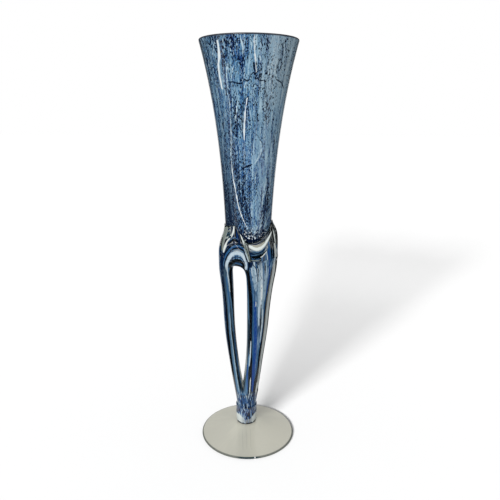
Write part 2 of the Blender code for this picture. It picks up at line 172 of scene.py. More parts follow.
def joined(x, y, z):
    node = nodeFor("ShaderNodeCombineXYZ", x, y, z)
    return Flow(fill(node, {"X": x, "Y": y, "Z": z}).outputs[0])


def apart(vector):
    node = nodeFor("ShaderNodeSeparateXYZ", vector)
    return [Flow(socket) for socket in fill(node, {0: vector}).outputs]


def attribute(tree, name):
    node = tree.nodes.new("ShaderNodeAttribute")
    node.attribute_name = name
    return Flow(node.outputs["Fac"])


def newMaterial(name):
    material = bpy.data.materials.new(name)
    material.use_nodes = True
    tree = material.node_tree
    return material, tree, tree.nodes["Principled BSDF"]


def aroundAxis(tree):
    # place, height and radius in mm, bearing from the front (-Y) towards +X, and the direction outwards
    place = Flow(tree.nodes.new("ShaderNodeTexCoord").outputs["Object"])
    x, y, z = [part / mm for part in apart(place)]
    radius = maths("SQRT", x * x + y * y)
    safeRadius = maths("MAXIMUM", radius, 1.0)
    degrees = maths("ARCTAN2", x, y * -1.0) * (180 / math.pi)
    return SimpleNamespace(place=place, x=x, y=y, height=z, radius=radius, degrees=degrees,
                           outX=x / safeRadius, outY=y / safeRadius)


def streakPlace(around, acrossScale, alongScale, shift=0.0):
    # coordinates for noise that is drawn out along the height and closes up round the piece
    return joined(around.outX * acrossScale + shift, around.outY * acrossScale, around.height * alongScale)


def drawnCurve(value, points, corners=False):
    # a curve through (place, height) points in any units
    places, heights = zip(*points)
    margin = 0.1 * (max(heights) - min(heights)) + 0.01
    low = min(heights) - margin
    span = max(heights) + margin - low
    reach = places[-1] - places[0]
    share = rangeTo(value, places[0], places[-1], kind="LINEAR")
    curve = curveThrough(share, [((place - places[0]) / reach, (height - low) / span)
                                 for place, height in points], corners)
    return share, curve * span + low


# how full a stroke is along its length
strokeEnds = ((0.0, 0.01), (0.1, 0.7), (0.5, 1.0), (0.9, 0.7), (1.0, 0.01))


def paintStrokes(colour, tones, groups, along, across, stretch=None, worn=None, corners=False, covers=None):
    # lines given one by one, in groups of a tone and its strokes: (half width in mm, then places along
    # and across by turns)
    for tone, *strokes in groups:
        nearest = None
        for halfWidth, *numbers in strokes:
            share, centre = drawnCurve(along, list(zip(numbers[::2], numbers[1::2])), corners)
            offset = across - centre
            if stretch:
                offset = offset * stretch
            ratio = maths("ABSOLUTE", offset) / (curveThrough(share, strokeEnds) * halfWidth)
            nearest = maths("MINIMUM", nearest, ratio) if nearest else ratio
        cover = rangeTo(nearest, 1.0, 0.45)
        if worn:
            cover = cover * worn
        if covers is not None:
            covers.append(cover)
        colour = blendColour(cover, colour, tones[tone])
    return colour


def lampsPassThrough(shader, tint):
    # rays on their way to a lamp go straight through, so clear glass doesn't shade what it holds
    nodes = shader.id_data.nodes
    clear = fill(nodes.new("ShaderNodeBsdfTransparent"), {"Color": tint})
    shadowRay = Flow(nodes.new("ShaderNodeLightPath").outputs["Is Shadow Ray"])
    mix = fill(nodes.new("ShaderNodeMixShader"),
               {0: shadowRay, 1: Flow(shader.outputs[0]), 2: Flow(clear.outputs[0])})
    fill(nodes["Material Output"], {"Surface": Flow(mix.outputs[0])})


def finishGlass(shader, colour, values):
    fill(shader, {"Base Color": colour, "Roughness": values["roughness"],
                  "Specular IOR Level": values["gloss"], "Coat Weight": values["coat"],
                  "Coat Roughness": values["coatRoughness"]})


# Meshes and objects

def addObject(name, data):
    added = bpy.data.objects.new(name, data)
    bpy.context.scene.collection.objects.link(added)
    return added


def pieceFrom(name, vertices, faces, material, attributes=None):
    mesh = bpy.data.meshes.new(name)
    mesh.from_pydata([tuple(point) for point in vertices], [], faces)
    mesh.validate()
    mesh.shade_smooth()
    mesh.materials.append(material)
    for key, values in (attributes or {}).items():
        layer = mesh.attributes.new(key, "FLOAT", "POINT")
        layer.data.foreach_set("value", np.asarray(values, np.float32))
    return addObject(name, mesh)


def keepPiece(piece, slot, *nodes):
    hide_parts(*nodes)
    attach(piece, body)


# Camera, where the photograph was taken from

cameraView = {"lens": 37.09, "sensor": 36.0, "place": (5.9, -556.0, 380.0),
              "pitch": 15.05, "yaw": -0.403, "roll": 0.255}


def makeCamera(values):
    pitch = math.radians(values["pitch"])
    yaw = math.radians(values["yaw"])
    ahead = Vector((math.sin(yaw) * math.cos(pitch), math.cos(yaw) * math.cos(pitch), -math.sin(pitch)))
    right = Vector((math.cos(yaw), -math.sin(yaw), 0.0))
    up = right.cross(ahead)
    data = bpy.data.cameras.new("photoCamera")
    data.lens = values["lens"]
    data.sensor_width = values["sensor"]
    camera = addObject("photoCamera", data)
    turn = Matrix((right, up, -ahead)).transposed() @ Matrix.Rotation(math.radians(values["roll"]), 3, "Z")
    camera.matrix_world = Matrix.Translation(Vector(values["place"]) * mm) @ turn.to_4x4()
    bpy.context.scene.camera = camera


print("camera")
makeCamera(cameraView)


# Studio: white world, pale floor, soft suns, and dark cards that only show in the glass

studio = {"worldForDiffuse": 0.45, "sunPower": 0.85, "sunAngle": 9.0, "sunBearings": (-33.0, -25.0, -17.0),
          "sunHeight": 24.0,
          # the second power is for suns that only light the floor, so that the shadow on it is deep enough
          "floorSunPower": 1.60, "floorTone": 0.72, "floorToneForDiffuse": 0.48, "floorWidth": 16000.0,
          "cardColour": (0.02, 0.021, 0.024), "cardDistance": 120.0, "cardFoot": 1.0, "cardHeight": 640.0,
          # bearings from the front where each dark card starts and ends, and the widest face on it
          "cardSpans": ((-140.0, -62.0), (-52.0, 48.0), (60.0, 140.0)), "cardStep": 5}


def toneWhenSeen(tree, low, high):
    # high for rays from the camera, or that come by way of a reflection or through glass, and low for others
    path = tree.nodes.new("ShaderNodeLightPath")
    seen = Flow(path.outputs["Is Camera Ray"])
    for name in ("Is Glossy Ray", "Is Transmission Ray"):
        seen = maths("MAXIMUM", seen, Flow(path.outputs[name]))
    return rangeTo(seen, 0.0, 1.0, low, high, "LINEAR")


def makeWorld(values):
    world = bpy.data.worlds.new("studioWorld")
    world.use_nodes = True
    tree = world.node_tree
    fill(tree.nodes["Background"], {"Color": (1.0, 1.0, 1.0),
                                    "Strength": toneWhenSeen(tree, values["worldForDiffuse"], 1.0)})
    bpy.context.scene.world = world


def makeFloor(values):
    half = values["floorWidth"] * mm / 2
    material, tree, shader = newMaterial("studioFloor")
    tone = toneWhenSeen(tree, values["floorToneForDiffuse"], values["floorTone"])
    fill(shader, {"Base Color": tone, "Roughness": 0.9, "Specular IOR Level": 0.0})
    corners = [(x, y, -seatGap) for x, y in ((-half, -half), (half, -half), (half, half), (-half, half))]
    floor = pieceFrom("studioFloor", corners, [(0, 1, 2, 3)], material)
    return floor


def makeSuns(values, name, power, lit=None):
    # lamps side by side, so the vase throws a broad soft shadow to the right and back
    height = math.radians(values["sunHeight"])
    for index, degrees in enumerate(values["sunBearings"]):
        data = bpy.data.lights.new("%s%d" % (name, index + 1), "SUN")
        data.energy = power
        data.angle = math.radians(values["sunAngle"])
        sun = addObject(data.name, data)
        bearing = math.radians(degrees)
        towards = Vector((math.sin(bearing) * math.cos(height), -math.cos(bearing) * math.cos(height),
                          math.sin(height)))
        sun.rotation_mode = "QUATERNION"
        sun.rotation_quaternion = towards.to_track_quat("Z", "Y")
        if lit:
            sun.light_linking.receiver_collection = lit


def makeCards(values):
    # dark cards round the vase that only reflections and clear glass can see
    material, _, shader = newMaterial("studioCard")
    fill(shader, {"Base Color": values["cardColour"], "Roughness": 1.0, "Specular IOR Level": 0.0})
    reach, high, low = (values[name] * mm for name in ("cardDistance", "cardHeight", "cardFoot"))
    for index, (start, end) in enumerate(values["cardSpans"]):
        steps = int((end - start) / values["cardStep"])
        corners = []
        for step in range(steps + 1):
            turn = math.radians(start + (end - start) * step / steps)
            corners += [(reach * math.sin(turn), -reach * math.cos(turn), z) for z in (low, high)]
        faces = [(2 * k, 2 * k + 2, 2 * k + 3, 2 * k + 1) for k in range(steps)]
        card = pieceFrom("darkCard%d" % (index + 1), corners, faces, material)
        card.visible_camera = card.visible_diffuse = card.visible_shadow = False


print("studio")
makeWorld(studio)
floorOnly = bpy.data.collections.new("floorOnly")
floorOnly.objects.link(makeFloor(studio))
makeSuns(studio, "softSun", studio["sunPower"])
makeSuns(studio, "floorSun", studio["floorSunPower"], floorOnly)
makeCards(studio)
bpy.context.scene.view_settings.view_transform = "Standard"


# Turned pieces: a Geometry Nodes tree turns a profile round the axis

def makeTurnTree():
    tree = bpy.data.node_groups.new("turnedGlass", "GeometryNodeTree")
    for name, kind in (("Profile", "Geometry"), ("Steps", "Int"), ("Join Distance", "Float"),
                       ("Glass", "Material")):
        tree.interface.new_socket(name, in_out="INPUT", socket_type="NodeSocket" + kind)
    tree.interface.new_socket("Geometry", in_out="OUTPUT", socket_type="NodeSocketGeometry")
    given = {socket.name: Flow(socket) for socket in tree.nodes.new("NodeGroupInput").outputs}

    def add(kind, inputs, output=0, **settings):
        node = tree.nodes.new("GeometryNode" + kind)
        for name, setting in settings.items():
            setattr(node, name, setting)
        return Flow(fill(node, inputs).outputs[output])

    rows = add("AttributeDomainSize", {"Geometry": given["Profile"]}, "Point Count")
    grid = add("MeshGrid", {"Size X": 1.0, "Size Y": 1.0, "Vertices X": rows,
                            "Vertices Y": given["Steps"] + 1.0})
    place = add("InputPosition", {})
    x, y = apart(place)[:2]
    row = maths("ROUND", (x + 0.5) * (rows - 1.0))
    point = add("SampleIndex", {"Geometry": given["Profile"], "Value": place, "Index": row},
                data_type="FLOAT_VECTOR", domain="POINT")
    radius, side, height = apart(point)
    turn = (y + 0.5) * (2 * math.pi)
    spot = joined(radius * maths("COSINE", turn), radius * maths("SINE", turn), height)
    shape = add("SetPosition", {"Geometry": grid, "Position": spot})
    shape = add("MergeByDistance", {"Geometry": shape, "Distance": given["Join Distance"]})
    shape = add("SetShadeSmooth", {"Geometry": shape})
    shape = add("RealizeInstances", {0: shape})
    shape = add("SetMaterial", {"Geometry": shape, "Material": given["Glass"]})
    fill(tree.nodes.new("NodeGroupOutput"), {0: shape})
    return tree


def turnedPiece(name, profile, steps, material, offset=0.0):
    # profile: (radius, height) from the axis round the section and back to the axis
    line = bpy.data.meshes.new(name + "Profile")
    line.from_pydata([(radius, 0.0, height) for radius, height in profile], [], [])
    holder = addObject(name + "Profile", line)
    modifier = holder.modifiers.new("turn", "NODES")
    modifier.node_group = turnTree
    inputs = {item.name: item.identifier for item in turnTree.interface.items_tree if item.in_out == "INPUT"}
    for key, setting in (("Steps", steps), ("Join Distance", mm / 1000), ("Glass", material)):
        modifier[inputs[key]] = setting
    bpy.context.view_layer.update()
    mesh = bpy.data.meshes.new_from_object(holder.evaluated_get(bpy.context.evaluated_depsgraph_get()))
    bpy.data.objects.remove(holder)
    mesh.transform(Matrix.Translation((offset, 0.0, 0.0)))
    mesh.name = name
    return addObject(name, mesh)


def roundedTurn(centreRadius, centreHeight, reach, startTurn, endTurn, steps):
    points = []
    for step in range(steps + 1):
        turn = math.radians(startTurn + (endTurn - startTurn) * step / steps)
        points.append((centreRadius + reach * math.cos(turn), centreHeight + reach * math.sin(turn)))
    return points


turnTree = makeTurnTree()


# Bowl

bowlShape = {"cornerRadius": 25.0, "roundDepth": 22.0, "lowerFlare": 2.6, "upperFlare": 8.4,
             "rimWall": 3.0, "cornerWall": 3.6, "floor": 8.5, "sideRows": 90, "bottomRows": 16, "rimSteps": 8,
             "steps": 160}

bowlCorner = bowlShape["cornerRadius"] * mm
bowlCornerHeight = bowlLow.z + bowlShape["roundDepth"] * mm


def bowlRadius(height):
    # outside radius of the bowl: round bottom, then a side that flares to the rim
    if height <= bowlCornerHeight:
        depth = (bowlCornerHeight - height) / (bowlCornerHeight - bowlLow.z)
        return bowlCorner * math.sqrt(max(0.0, 1 - depth ** 2))
    share = (height - bowlCornerHeight) / (bowlHigh.z - bowlCornerHeight)
    rest = 1 - share
    lower = 3 * rest ** 2 * share * bowlShape["lowerFlare"] * mm
    upper = 3 * rest * share ** 2 * bowlShape["upperFlare"] * mm
    return bowlCorner + lower + upper + share ** 3 * (rimRadius - bowlCorner)


def bowlSide(values, wallAt):
    top = bowlHigh.z - values["rimWall"] * mm / 2
    points = []
    for row in range(values["sideRows"] + 1):
        share = row / values["sideRows"]
        height = bowlCornerHeight + (top - bowlCornerHeight) * share
        points.append((bowlRadius(height) - wallAt(share), height))
    return points


def bowlBottom(values, radius, lowest):
    points = []
    for row in range(values["bottomRows"]):
        turn = math.pi / 2 * row / values["bottomRows"]
        height = bowlCornerHeight - (bowlCornerHeight - lowest) * math.cos(turn)
        points.append((radius * math.sin(turn), height))
    return points


def bowlProfile(values):
    rimRound = values["rimWall"] * mm / 2
    corner = values["cornerWall"] * mm
    inside = bowlBottom(values, bowlCorner - corner, bowlLow.z + values["floor"] * mm)
    inside += bowlSide(values, lambda share: corner + (values["rimWall"] * mm - corner) * share)
    outside = bowlBottom(values, bowlCorner, bowlLow.z) + bowlSide(values, lambda share: 0.0)
    rimCentre = outside[-1][0] - rimRound
    rim = roundedTurn(rimCentre, outside[-1][1], rimRound, 180, 0, values["rimSteps"])[1:-1]
    return inside + rim + outside[::-1]


bowlGlass = {"cobalt": (0.008, 0.040, 0.170), "blue": (0.028, 0.110, 0.270), "steel": (0.090, 0.215, 0.350),
             "slate": (0.040, 0.070, 0.105), "mist": (0.220, 0.370, 0.490), "pale": (0.420, 0.560, 0.640),
             "cream": (0.640, 0.700, 0.720), "navy": (0.001, 0.005, 0.022), "lip": (0.030, 0.036, 0.048),
             # paintedLightGrey is painted light, blended over the lit right side and top
             "casingSheen": (0.110, 0.130, 0.145), "paintedLightGrey": (0.270, 0.320, 0.360), "deep": (0.050, 0.165, 0.390),
             "roughness": 0.22, "gloss": 0.3, "coat": 0.25, "coatRoughness": 0.06,
             # heights in mm, from where each feature starts to where it is full
             "lipHeights": (447.6, 448.8), "crumbHeights": (264.0, 250.0), "paintedLightRightHeights": (270.0, 340.0),
             "litHeights": (370.0, 410.0), "toneHeights": (250.0, 430.0), "fleckHeights": (380.0, 280.0),
             "deepHeights": (370.0, 300.0), "leftShadeHeights": (270.0, 400.0), "crowdHeights": (330.0, 240.0),
             "casingSheenHeights": (255.0, 310.0)}

# strokes on the bowl, drawn after the photograph: half width in mm, then height and bearing by turns
bowlBrightStrokes = (
    ("cream",
     # the first cream stroke, high on the left, is a painted reflection
     (1.8, 400.6, -39.1, 408.9, -40.6, 419.7, -40.5, 432.0, -36.7, 440.6, -35.9, 444.8, -36.2),
     (0.8, 415.6, 10.5, 426.9, 8.2, 438.8, 6.5, 448.4, 6.5),
     (0.9, 352.1, -7.3, 367.6, -6.2, 378.1, -5.1, 387.4, -3.3, 393.0, -1.2),
     (0.7, 261.3, -1.8, 275.7, -16.3, 287.3, -23.4, 301.9, -28.7, 316.3, -33.3, 331.6, -35.2)),)
bowlPaleStrokes = (
    ("pale",
     (0.8, 437.6, -27.4, 441.9, -27.9, 445.2, -28.2),
     (1.1, 431.2, -5.8, 437.5, -6.2, 442.1, -7.4, 447.5, -8.7),
     (0.6, 437.2, 8.6, 441.4, 9.0, 448.0, 9.2),
     (0.8, 424.4, 14.9, 427.0, 13.9, 430.4, 12.8),
     (1.6, 430.9, 59.9, 436.3, 59.5, 440.6, 58.2),
     (1.1, 414.1, 26.1, 418.5, 25.2, 422.0, 24.2),
     (0.8, 406.4, 43.3, 414.0, 38.3, 417.9, 34.6),
     (1.0, 401.2, -5.8, 404.4, -4.1, 408.0, -2.2),
     (0.7, 316.3, -34.0, 329.6, -35.1, 347.8, -32.7, 363.6, -30.6, 377.0, -29.5, 389.3, -29.3,
      398.6, -32.7),
     (0.6, 369.4, -22.3, 377.1, -19.7, 386.5, -16.9, 390.2, -15.3),
     (1.2, 282.8, 32.4, 293.3, 34.9, 304.8, 38.2, 313.0, 43.5),
     (1.0, 295.6, 53.4, 310.4, 54.7, 325.0, 53.9, 339.5, 51.3),
     (0.8, 421.8, -65.9, 425.2, -60.6, 428.6, -56.3),
     (0.7, 431.7, -47.9, 438.4, -43.9, 443.4, -40.6),
     (0.6, 418.5, 49.5, 431.8, 46.3, 445.5, 42.2),
     (0.5, 273.8, 10.2, 281.3, 8.2, 290.9, 6.3),
     (1.3, 328.2, 10.3, 334.1, 19.0, 342.1, 24.2, 352.0, 21.6),
     (0.7, 296.3, 40.7, 304.7, 41.6, 315.3, 37.0),
     (0.7, 258.6, 38.5, 265.7, 46.9, 273.7, 58.1, 282.9, 65.7),
     (0.6, 254.8, 26.7, 264.4, 31.4, 275.1, 35.4),
     (0.7, 401.4, -30.5, 412.2, -29.4, 425.5, -25.9),
     (0.7, 259.7, -4.7, 261.0, -1.7, 262.4, 1.4),
     (0.7, 257.0, 8.0, 259.0, 9.4, 261.2, 10.8),
     (0.7, 259.0, 20.2, 261.0, 21.8, 263.2, 23.4),
     (0.7, 260.1, 31.0, 262.2, 32.4, 264.8, 34.0),
     (0.6, 254.6, 15.2, 256.4, 17.0, 258.2, 18.6),
     (0.7, 410.3, -22.6, 415.7, -21.1, 421.8, -18.2)),)
bowlDarkStrokes = (
    ("navy",
     (0.9, 416.5, 7.2, 421.7, 6.2, 426.0, 5.6),
     (0.8, 389.5, 29.3, 394.1, 27.2, 399.6, 24.4, 407.8, 23.0),
     (0.7, 347.5, 30.5, 353.0, 20.7, 358.0, 15.9),
     (1.0, 318.6, -26.6, 323.2, -26.5, 326.7, -27.5),
     (0.9, 399.4, -8.9, 403.0, -7.9, 405.7, -8.4),
     (1.2, 427.6, -55.1, 434.8, -56.0, 441.2, -58.2),
     (0.9, 393.1, -31.7, 397.7, -32.6, 405.0, -30.5),
     (1.0, 356.0, -9.3, 369.5, -9.4, 382.8, -8.2, 397.6, -2.6),
     (0.6, 413.8, 46.7, 427.3, 44.5, 442.7, 40.1),
     (0.8, 295.7, 29.4, 298.8, 30.6, 301.9, 31.2),
     (2.6, 267.0, -42.8, 276.5, -45.6, 286.9, -48.4),
     (1.5, 267.3, 3.4, 277.0, -1.3, 285.6, -3.6, 295.0, -7.9),
     (1.3, 268.4, 39.2, 279.1, 40.9, 289.8, 42.3, 300.4, 43.5)),)
# fine dark zigzag lines: half width in mm, then bearing and height by turns
bowlZigzags = (
    ("navy",
     (1.0, -29.0, 407.0, -21.3, 407.2, -16.0, 406.1, -10.8, 405.6, -7.8, 406.3, -5.5, 409.7, -2.4, 408.1,
      1.0, 408.8, 3.0, 413.4, 6.3, 415.7, 10.5, 412.4, 14.3, 408.0, 21.9, 409.0, 24.0, 407.0),
     (0.9, 36.0, 413.0, 40.4, 409.8, 51.4, 407.2, 62.0, 401.6),
     (1.4, -9.0, 324.4, -0.4, 326.6, 8.0, 328.0),
     (1.6, -8.0, 250.4, -3.7, 248.6, 8.5, 246.9, 21.1, 247.4, 31.8, 250.5, 42.0, 256.0)),)


def makeBowlMaterial(values):
    material, tree, shader = newMaterial("mottledBlueGlass")
    around = aroundAxis(tree)
    height, outX = around.height, around.outX

    def streaks(across, along, shift, detail=2.0, roughness=0.6, twist=0.5):
        return noiseAt(streakPlace(around, across, along / vaseHeight, shift), detail, roughness, twist)

    patches = streaks(2.0, 7, 3.0, roughness=0.5, twist=0.0)
    columns = streaks(9.0, 10, 5.0, twist=0.3)
    lines = streaks(34.0, 30, 9.0, detail=3.0)
    specks = streaks(40.0, 210, 11.0)
    flecks = streaks(38.0, 150, 17.0, twist=0.8)
    hairs = streaks(52.0, 26, 23.0, roughness=0.5, twist=0.4)
    lumps = streaks(13.0, 215, 31.0, detail=1.0, roughness=0.5)
    # painted light: lighter and greyer to the right and high up, as if lit from there; darker and more
    # speckled low down, as in the photograph
    right = rangeTo(outX, 0.0, 0.6) * rangeTo(height, *values["paintedLightRightHeights"], 0.35, 1.0)
    lit = rangeTo(outX, 0.15, 0.50) * rangeTo(height, *values["litHeights"])
    tone = columns * 0.55 + lines * 0.65 - 0.12 + right * 0.055
    tone = tone + rangeTo(height, *values["toneHeights"], -0.036, 0.012) + lit * 0.055
    tone = tone + (flecks - 0.5) * rangeTo(height, *values["fleckHeights"], 0.0, 0.80)
    colour = colourSteps(tone, values, ((0.38, "cobalt"), (0.45, "blue"), (0.52, "steel"), (0.60, "mist"),
                                        (0.70, "pale")))
    # painted light: the lit right side and top go towards a pale grey
    colour = blendColour(lit * 0.22 + right * 0.20, colour, values["paintedLightGrey"])
    # a stronger blue in the lower middle
    middle = rangeTo(outX, -0.80, -0.45) * rangeTo(outX, 0.25, -0.05)
    deep = middle * rangeTo(height, *values["deepHeights"], 0.0, 0.55)
    colour = blendColour(deep, colour, values["deep"])
    colour = blendColour(rangeTo(flecks + deep * 0.06, 0.56, 0.60, 0.0, 0.95), colour, values["mist"])
    colour = blendColour(rangeTo(hairs, 0.57, 0.62, 0.0, 0.65), colour, values["pale"])
    # painted shade: the left side is darker slate, as if turned away from the light
    left = rangeTo(outX, -0.15, -0.80) * rangeTo(height, *values["leftShadeHeights"], 0.85, 0.30)
    colour = blendColour(left, colour, values["slate"])
    # dark specks, and crumbs of dark and white glass at the very bottom
    low = rangeTo(height, *values["crumbHeights"]) * rangeTo(around.outY, -0.45, -0.75)
    crowded = (0.5 - columns + (0.5 - patches)) * 0.40 - outX * 0.035
    crowded = crowded + rangeTo(height, *values["crowdHeights"], 0.0, 0.07)
    # fewer dark specks where the painted light falls
    crowded = crowded + deep * 0.03 - lit * 0.035 + low * 0.10
    colour = blendColour(rangeTo(specks + crowded, 0.535, 0.575), colour, values["navy"])
    colour = blendColour(rangeTo(lumps, 0.52, 0.48) * low, colour, values["navy"])
    colour = blendColour(rangeTo(lumps, 0.59, 0.62) * low, colour, values["cream"])
    bent = around.degrees + (lines - 0.5) * 5.0
    perDegree = around.radius * (math.pi / 180)
    worn = rangeTo(flecks, 0.38, 0.56, 0.25, 1.0)
    colour = paintStrokes(colour, values, bowlPaleStrokes, height, bent, perDegree, worn)
    colour = paintStrokes(colour, values, bowlBrightStrokes, height, bent, perDegree)
    colour = paintStrokes(colour, values, bowlDarkStrokes, height, bent, perDegree, worn)
    rough = height + (specks - 0.5) * 2.0
    colour = paintStrokes(colour, values, bowlZigzags, around.degrees, rough, corners=True)
    colour = blendColour(rangeTo(height, *values["lipHeights"]), colour, values["lip"])
    # painted sheen: where the clear casing is seen edge on, the base colour is greyed as a reflection would
    # grey it
    edge = Flow(tree.nodes.new("ShaderNodeLayerWeight").outputs["Facing"])
    casingSheenShare = rangeTo(edge, 0.62, 0.95, 0.0, 0.75) * rangeTo(height, *values["casingSheenHeights"], 0.35, 1.0)
    colour = blendColour(casingSheenShare, colour, values["casingSheen"])
    finishGlass(shader, colour, values)
    return material


print("bowl")
bowl = turnedPiece("bowlGlass", bowlProfile(bowlShape), bowlShape["steps"], makeBowlMaterial(bowlGlass))
keepPiece(bowl, "bowl_blue", "bowl")


# Stem: a tube pierced into three legs

stemShape = {"stationShares": (0.0, 0.114, 0.295, 0.545, 0.800, 0.912, 1.0),
             "outerShares": (0.292, 0.364, 0.554, 0.777, 0.892, 0.979, 1.0),
             "innerShares": (0.027, 0.042, 0.265, 0.476, 0.572, 0.620, 0.602),
             "lean": 1.5, "archTopDrop": 7.0, "archRise": 18.0, "openingHalfWidth": 9.9,
             "openingBottomShare": 0.190, "taper": 3.5, "squareness": 2.8,
             # the glass swells to the right between these heights, most from the second to the third
             "swell": 2.1, "swellHeights": (150.0, 205.0, 208.0, 230.0),
             "leftArch": -25.0, "rightArch": 77.0, "rearArch": 208.0,
             "rowsBelow": 24, "rowsBeside": 110, "rowsArch": 40, "rowsAbove": 10, "columns": 16,
             "edgeSteps": 160}

# middle of an arch as the camera sees it, and how far round from the arch the camera stands
archMiddle = {"across": -11.2, "height": 217.0, "lookFrom": 25.0}

archTop = stemTop - stemShape["archTopDrop"] * mm
archSpring = archTop - stemShape["archRise"] * mm
openingBottom = toeHeight + (stemTop - toeHeight) * stemShape["openingBottomShare"]


def smoothBetween(stations, values, place):
    # the same cubic curve through the stations as the solid has
    if place <= stations[0]:
        return values[0]
    if place >= stations[-1]:
        return values[-1]
    upper = next(index for index, station in enumerate(stations) if station >= place)
    lower = upper - 1
    span = stations[upper] - stations[lower]
    share = (place - stations[lower]) / span

    def slope(index):
        before = max(index - 1, 0)
        after = min(index + 1, len(stations) - 1)
        return (values[after] - values[before]) / (stations[after] - stations[before])

    bend = (share - 2 * share ** 2 + share ** 3) * span * slope(lower)
    bend += (share ** 3 - share ** 2) * span * slope(upper)
    ease = 3 * share ** 2 - 2 * share ** 3
    return values[lower] * (1 - ease) + values[upper] * ease + bend


def stemRadius(height, which):
    wayUp = (height - toeHeight) / (stemTop - toeHeight)
    return stemTopRadius * smoothBetween(stemShape["stationShares"], stemShape[which], wayUp)


def leanAt(height):
    wayUp = min(max((height - toeHeight) / (stemTop - toeHeight), 0.0), 1.0)
    return -stemShape["lean"] * mm * (1 - wayUp)


def swellAt(height, turn):
    # pulled by hand, the glass swells a little to the right below the crown
    start, full, over, end = stemShape["swellHeights"]
    rising, falling = (share ** 2 * (3 - 2 * share) for share in
                       (min(max((height / mm - low) / (high - low), 0.0), 1.0)
                        for low, high in ((start, full), (over, end))))
    return stemShape["swell"] * mm * rising * (1 - falling) * max(math.sin(turn), 0.0) ** 3


def openingHalfWidth(height):
    if height <= openingBottom or height >= archTop:
        return 0.0
    climb = min((height - openingBottom) / (archSpring - openingBottom), 1.0)
    spread = 1 - (1 - climb) ** stemShape["taper"]
    rise = max(height - archSpring, 0.0) / (archTop - archSpring)
    power = stemShape["squareness"]
    return stemShape["openingHalfWidth"] * mm * spread * (1 - rise ** power) ** (1 / power)


def edgePath(values):
    # one side of an opening laid flat: (distance from its middle, height)
    heights = [openingBottom + (archTop - openingBottom) * math.sin(math.pi / 2 * step / values["edgeSteps"])
               for step in range(values["edgeSteps"] + 1)]
    return np.array([(openingHalfWidth(height), height) for height in heights])


def roundedReach(gap, halfWall):
    # distance along the rounded glass from an opening's edge, for a gap measured on the flattened tube
    depth = min(gap / halfWall, 1.0)
    return halfWall * math.acos(1 - depth) + max(gap - halfWall, 0.0)


def gapTo(path, across, height):
    # shortest distance from a spot on the flattened tube to an opening's edge
    steps = path[1:] - path[:-1]
    spots = np.array((across, height)) - path[:-1]
    along = np.clip((spots * steps).sum(1) / (steps ** 2).sum(1), 0, 1)
    return np.sqrt(((spots - steps * along[:, None]) ** 2).sum(1)).min()


def legHeights(values):
    below = [openingBottom - (openingBottom - toeHeight) * (1 - (row / values["rowsBelow"]) ** 0.6)
             for row in range(values["rowsBelow"])]
    beside = [openingBottom + (archSpring - openingBottom) * (row / values["rowsBeside"]) ** 1.25
              for row in range(values["rowsBeside"])]
    arch = [archSpring + (archTop - archSpring) * math.sin(math.pi / 2 * row / values["rowsArch"])
            for row in range(values["rowsArch"] + 1)]
    above = [archTop + (stemTop - archTop) * ((row + 1) / values["rowsAbove"]) ** 1.3
             for row in range(values["rowsAbove"])]
    return below + beside + arch + above


def legMesh(leftArch, rightArch, values):
    seam = math.radians((rightArch - leftArch) % 360) / 2
    middleTurn = math.radians(leftArch) + seam
    columns = values["columns"]
    shares = [math.sin(math.pi / 2 * step / columns) for step in range(-columns, columns + 1)]
    path = edgePath(values)
    points, across, rim, archAcross, outer, inner = [], [], [], [], [], []
    for height in legHeights(values):
        outside = stemRadius(height, "outerShares")
        inside = stemRadius(height, "innerShares")
        middle = (outside + inside) / 2
        halfWall = (outside - inside) / 2
        reach = seam - math.asin(min(openingHalfWidth(height) / middle, 1.0))
        outerRow, innerRow = [], []
        for share in shares:
            nearGap = gapTo(path, (seam - abs(share) * reach) * middle, height)
            farGap = gapTo(path, (seam + abs(share) * reach) * middle, height)
            depth = min(nearGap / halfWall, 1.0)
            halfHere = halfWall * math.sqrt(1 - (1 - depth) ** 2)
            freeEdge = abs(share) == 1 and openingBottom <= height <= archTop
            if freeEdge:
                halfHere = 0.0
            crossing = nearGap / (nearGap + farGap)
            for side, row in ((1, outerRow), (-1, innerRow)):
                if side < 0 and freeEdge:
                    innerRow.append(outerRow[-1])
                    continue
                radius = middle + side * halfHere
                limit = seam - math.asin(min(seatGap / 2 / radius, 1.0))
                turn = middleTurn + math.copysign(min(abs(share) * reach, limit), share)
                radius += swellAt(height, turn)
                row.append(len(points))
                points.append((radius * math.sin(turn) + leanAt(height), -radius * math.cos(turn), height))
                across.append(crossing if share < 0 else 1 - crossing)
                rim.append(side * roundedReach(nearGap, halfWall))
                lookFrom = math.radians((leftArch if share < 0 else rightArch) + archMiddle["lookFrom"])
                archAcross.append(radius * math.sin(turn - lookFrom) / mm)
        outer.append(outerRow)
        inner.append(innerRow)
    return points, legFaces(outer, inner), {"acrossLeg": across, "rimReach": rim, "archAcross": archAcross}


def legFaces(outer, inner):
    faces = []
    for out, into, outUp, intoUp in zip(outer, inner, outer[1:], inner[1:]):
        for left, right in zip(range(len(out) - 1), range(1, len(out))):
            faces.append((out[left], out[right], outUp[right], outUp[left]))
            faces.append((into[right], into[left], intoUp[left], intoUp[right]))
        faces.append((into[0], out[0], outUp[0], intoUp[0]))
        faces.append((out[-1], into[-1], intoUp[-1], outUp[-1]))
    faces.append(tuple(reversed(outer[0])) + tuple(inner[0]))
    faces.append(tuple(outer[-1]) + tuple(reversed(inner[-1])))
    # the two walls meet in one point at a free edge, so some corners are there twice
    tidy = [tuple(dict.fromkeys(face)) for face in faces]
    return [face for face in tidy if len(face) > 2]


